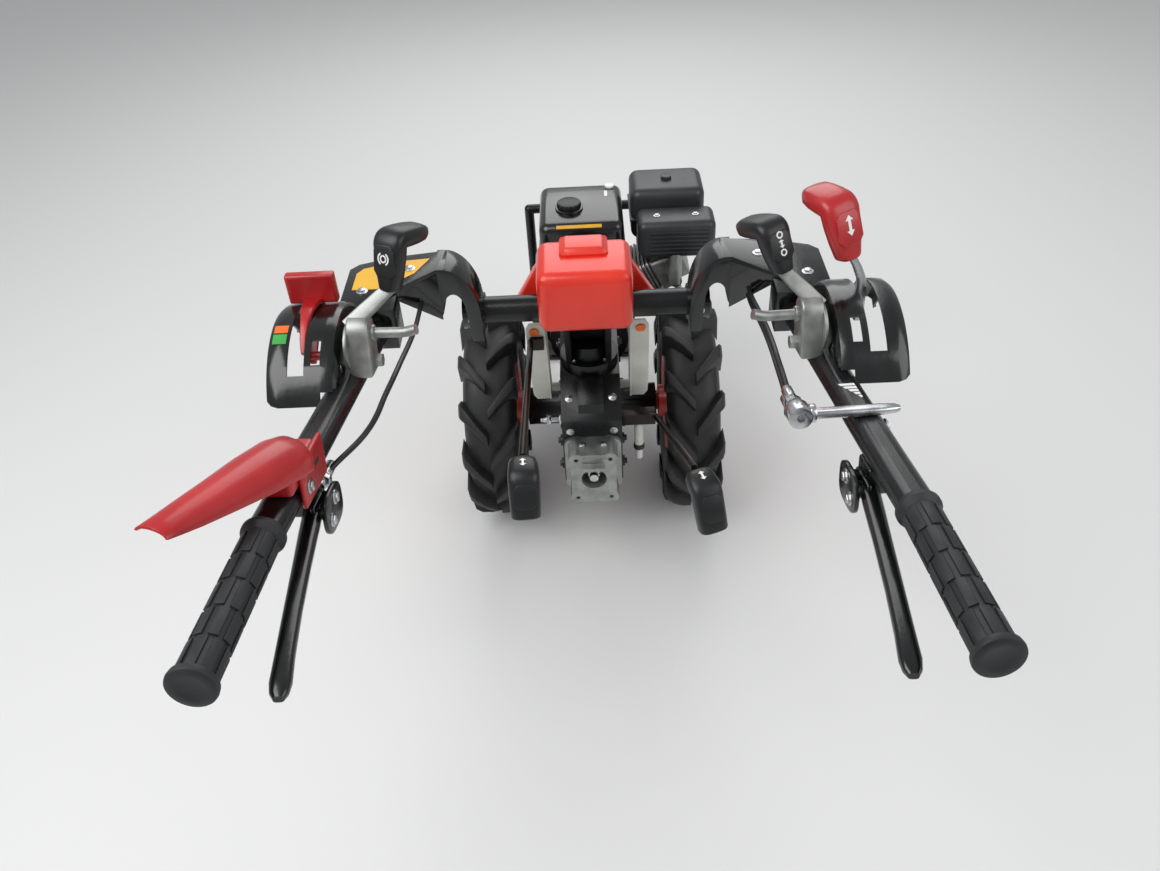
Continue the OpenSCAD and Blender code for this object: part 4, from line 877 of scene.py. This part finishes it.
def add_bolts():
    """Screws, bolts and nuts on what they hold."""
    held = []
    for side in (-1, 1):
        inward = Vector((-side * OUT.x, -OUT.y, -OUT.z)) if side > 0 else Vector((OUT.x, -OUT.y, -OUT.z))
        held += [(on_handle(38, -40, HANDLE_L - 136, side), inward), (on_handle(58, -40, HANDLE_L - 114, side), inward)]
        held += [(at(side * 206, -333, 720), (0, -1, 0)), (at(side * 372, -430, 850), (0, 0, 1)),
                 (at(side * 300, -362, 850), (0, 0, 1))]
    held.append((on_handle(0, 23, HANDLE_L - 190), OUT))
    held.append((on_handle(-10, -30, HANDLE_L - 86, -1), Vector((OUT.x, -OUT.y, -OUT.z))))
    bolts("handlebar_bolts", "handlebar", held, 6.0)
    swivel = [(at(48 * math.cos(a), -155 + 48 * math.sin(a), 516), (0, 0, 1)) for a in (0.79, 2.36, 3.93, 5.5)]
    bolts("column_bolts", "column", swivel, 5.0)
    engine = [(at(170, 250, 606), (0, 0, 1)), (at(260, 250, 606), (0, 0, 1))]
    for side in (-1, 1):
        engine += [(at(side * 45, -245, 460.2), (0, -0.6, 0.8)), (at(side * 45, -285.2, 405), (0, -1, 0)),
                   (at(side * 22, -312, 390), (0, 0, 1))]
    bolts("engine_bolts", "chassis", engine, 5.0)


def double_arrow(middle, across, up, half_mm, wide_mm):
    """A plain arrow with a head at both ends, as an outline about a point."""
    outline = ((0, 1), (0.5, 0.5), (0.17, 0.5), (0.17, -0.5), (0.5, -0.5), (0, -1), (-0.5, -0.5), (-0.17, -0.5),
               (-0.17, 0.5), (-0.5, 0.5))
    return [middle + across * wide_mm * MM * x + up * half_mm * MM * y for x, y in outline]


def arc_band(middle, across, up, radius_mm, first, last):
    """Part of a ring, as an outline about a point."""
    turns = [math.radians(first + (last - first) * k / 8) for k in range(9)]
    return [middle + (across * math.cos(a) + up * math.sin(a)) * r * MM
            for r, order in ((radius_mm, turns), (radius_mm - 2.2, turns[::-1])) for a in order]


def add_marks():
    """Plain arrows and rings on the knobs and blank films on the plate, tube, guard and tank."""
    upper, lower = [], []
    for name, path, width, thick, node in KNOBS:
        low, crown, across, up, out = facing(path)
        middle = low.lerp(crown, 0.62) + out * (thick / 2 + 1.3) * MM
        if node == "shift_knob":
            upper.append(film(double_arrow(middle, across, up, 15, 13), out))
        elif node == "throttle_knob":
            upper += [film(double_arrow(middle, across, up, 6, 9), out)]
            upper += [film(arc_band(middle + up * gap * MM, across, up, 5.5, 0, 359), out) for gap in (-13, 13)]
        elif node == "brake_lever":
            upper += [film(arc_band(middle, across, up, 10, first, first + 120), out) for first in (-60, 120)]
            upper.append(film(arc_band(middle, across, up, 6, 0, 359), out))
        else:
            front = at(*path[2])
            ahead = (front - crown).normalized()
            top = ahead.cross(across)
            top = top if top.z > 0 else -top
            lower.append(film(double_arrow(crown.lerp(front, 0.5) + top * (thick / 2 + 0.4) * MM, across, ahead, 8, 10), top))
    for name, body, marks in (("knob_marks", "handlebar", upper), ("rod_knob_marks", "chassis", lower)):
        join(*marks)
        finish(marks[0], name, body, WHITE_FILM, "grey_plate")
    plate = film([at(-x, y, 850.3) for x, y in ((268, -330), (325, -336), (380, -356), (390, -372), (390, -424), (340, -424),
                                                (290, -378))][::-1], (0, 0, 1))
    finish(plate, "plate_film", "handlebar", YELLOW_FILM, "grey_plate")
    stripes = [film([on_handle(-17.2, out, HANDLE_L - gap + step) for out, step in ((8 - reach, 0), (8, 0), (8, 6), (10 - reach, 6))],
                    -DOWN) for gap, reach in ((284, 22), (275, 17.5), (266, 13), (257, 8.5), (248, 4.5))]
    join(*stripes)
    finish(stripes[0], "tube_stripes", "handlebar", WHITE_FILM, "grey_plate")
    for name, first, last, look in (("guard_film_orange", 97, 103, ORANGE_FILM), ("guard_film_green", 104, 111, GREEN_FILM)):
        rows = [math.radians(first + (last - first) * k / 4) for k in range(5)]
        outer = [[at(-x, -627 + r * math.cos(a), 785 + r * math.sin(a)) for a in rows for x in (x0,)]
                 for x0, x in ((430, 430), (450, 450)) for r in (145.4,)]
        patch = film(outer[0] + outer[1][::-1], (0, math.cos(rows[2]), math.sin(rows[2])))
        finish(patch, name, "handlebar", look, "grey_plate")
    face = Vector((0, -1, 1)).normalized()
    slope = Vector((0, 1, 1)).normalized()
    middle = at(0, 227, 592) + face * 22.2 * MM
    strip = film([middle + Vector((x * MM, 0, 0)) + slope * w * MM for x, w in ((-65, -4), (40, -4), (40, 4), (-65, 4))], face)
    finish(strip, "tank_film", "chassis", YELLOW_FILM, "grey_plate")
    gauge = rod(at(64, 396, 612), at(64, 396, 619), 0.012, 40, 2.0)
    join(gauge, film([at(x, y, 614.4) for x, y in ((50, 345), (57, 345), (57, 372), (50, 372))], (0, 0, 1)))
    finish(gauge, "tank_gauge", "chassis", WHITE_FILM, "grey_plate")
    spots = [rod(at(side * 103, -256, 640), at(side * 103, -262.4, 638.4), 0.010, 32, 0.8) for side in (-1, 1)]
    join(*spots)
    finish(spots[0], "side_plate_spots", "chassis", ORANGE_FILM, "grey_plate")


EASED = (("gearbox", 4.0), ("pto_housing", 2.0), ("bell_housing", 2.0), ("engine_block", 3.0), ("cylinder_head", 0.8),
         ("carburettor", 2.5), ("recoil_starter", 2.0), ("engine_frame", 1.0), ("side_plates", 0.8),
         ("column", 2.0), ("shoulder_left", 1.6), ("shoulder_right", 1.6), ("gear_rod", 1.0), ("pto_rod", 1.0), ("rim_left", 1.0), ("rim_right", 1.0), ("fan_shroud", 2.5))


def ease_nodes():
    """Cast, pressed and machined pieces keep their CAD shape with their edges broken."""
    looks = {"shoulder_left": BLACK_GLOSS, "shoulder_right": BLACK_GLOSS, "gearbox": BLACK_COAT, "gear_rod": DARK_ZINC,
             "pto_rod": DARK_ZINC}
    for node, width in EASED:
        eased(node, width, looks.get(node))


# Floor, light and camera

def lay_floor():
    """A wide, flat pale floor."""
    deselect()
    bpy.ops.mesh.primitive_plane_add(size=30.0, location=(0.0, 0.0, 0.0))
    floor = bpy.context.object
    floor.name = "floor"
    made, tree, shader = material("pale_studio_floor", Roughness=0.7)
    shader.inputs["Base Color"].default_value = linear("#dcdcdb")
    floor.data.materials.append(made)


def light_studio():
    """Large soft lamps over and behind the machine, and an even pale surround."""
    lamps = (("key", (-1.6, -1.0, 3.0), 2.2, 70.0), ("fill", (2.4, -1.4, 2.4), 2.2, 34.0),
             ("back", (0.2, 3.0, 2.8), 2.6, 48.0))
    for name, at, size, power in lamps:
        deselect()
        bpy.ops.object.light_add(type="AREA", location=at)
        lamp = bpy.context.object
        lamp.name = name + "_lamp"
        lamp.data.size = size
        lamp.data.energy = power
        lamp.rotation_euler = (Vector((0.0, 0.0, 0.6)) - Vector(at)).to_track_quat("-Z", "Y").to_euler()
    world = bpy.context.scene.world or bpy.data.worlds.new("surround")
    bpy.context.scene.world = world
    world.use_nodes = True
    back = world.node_tree.nodes["Background"]
    back.inputs["Color"].default_value = linear("#e4e6e8")
    back.inputs["Strength"].default_value = 0.55


def place_camera():
    """The photograph's own place, direction and lens."""
    deselect()
    bpy.ops.object.camera_add(location=CAMERA_AT)
    camera = bpy.context.object
    camera.name = "photo_camera"
    camera.data.sensor_fit = "HORIZONTAL"
    camera.data.sensor_width = SENSOR_MM
    camera.data.lens = FOCAL_PX * SENSOR_MM / PICTURE_W
    ahead = Vector((math.sin(CAMERA_YAW) * math.cos(CAMERA_PITCH), math.cos(CAMERA_YAW) * math.cos(CAMERA_PITCH),
                    -math.sin(CAMERA_PITCH)))
    level = Vector((math.cos(CAMERA_YAW), -math.sin(CAMERA_YAW), 0.0))
    upward = level.cross(ahead)
    right = math.cos(CAMERA_ROLL) * level + math.sin(CAMERA_ROLL) * upward
    up = math.cos(CAMERA_ROLL) * upward - math.sin(CAMERA_ROLL) * level
    turn = Matrix((right, up, -ahead)).transposed()
    camera.rotation_euler = turn.to_euler()
    bpy.context.scene.camera = camera
    bpy.context.scene.view_settings.view_transform = "Standard"


dress_nodes()
model_hood()
model_tyres()
model_grips()
model_knobs()
model_guards()
model_tank()
model_boxes()
model_engine_side()
model_gear_fittings()
model_cables()
model_hubs()
model_clamp()
model_clutch_lever()
model_hand_levers()
model_red_lever()
add_bolts()
add_marks()
ease_nodes()
lay_floor()
light_studio()
place_camera()
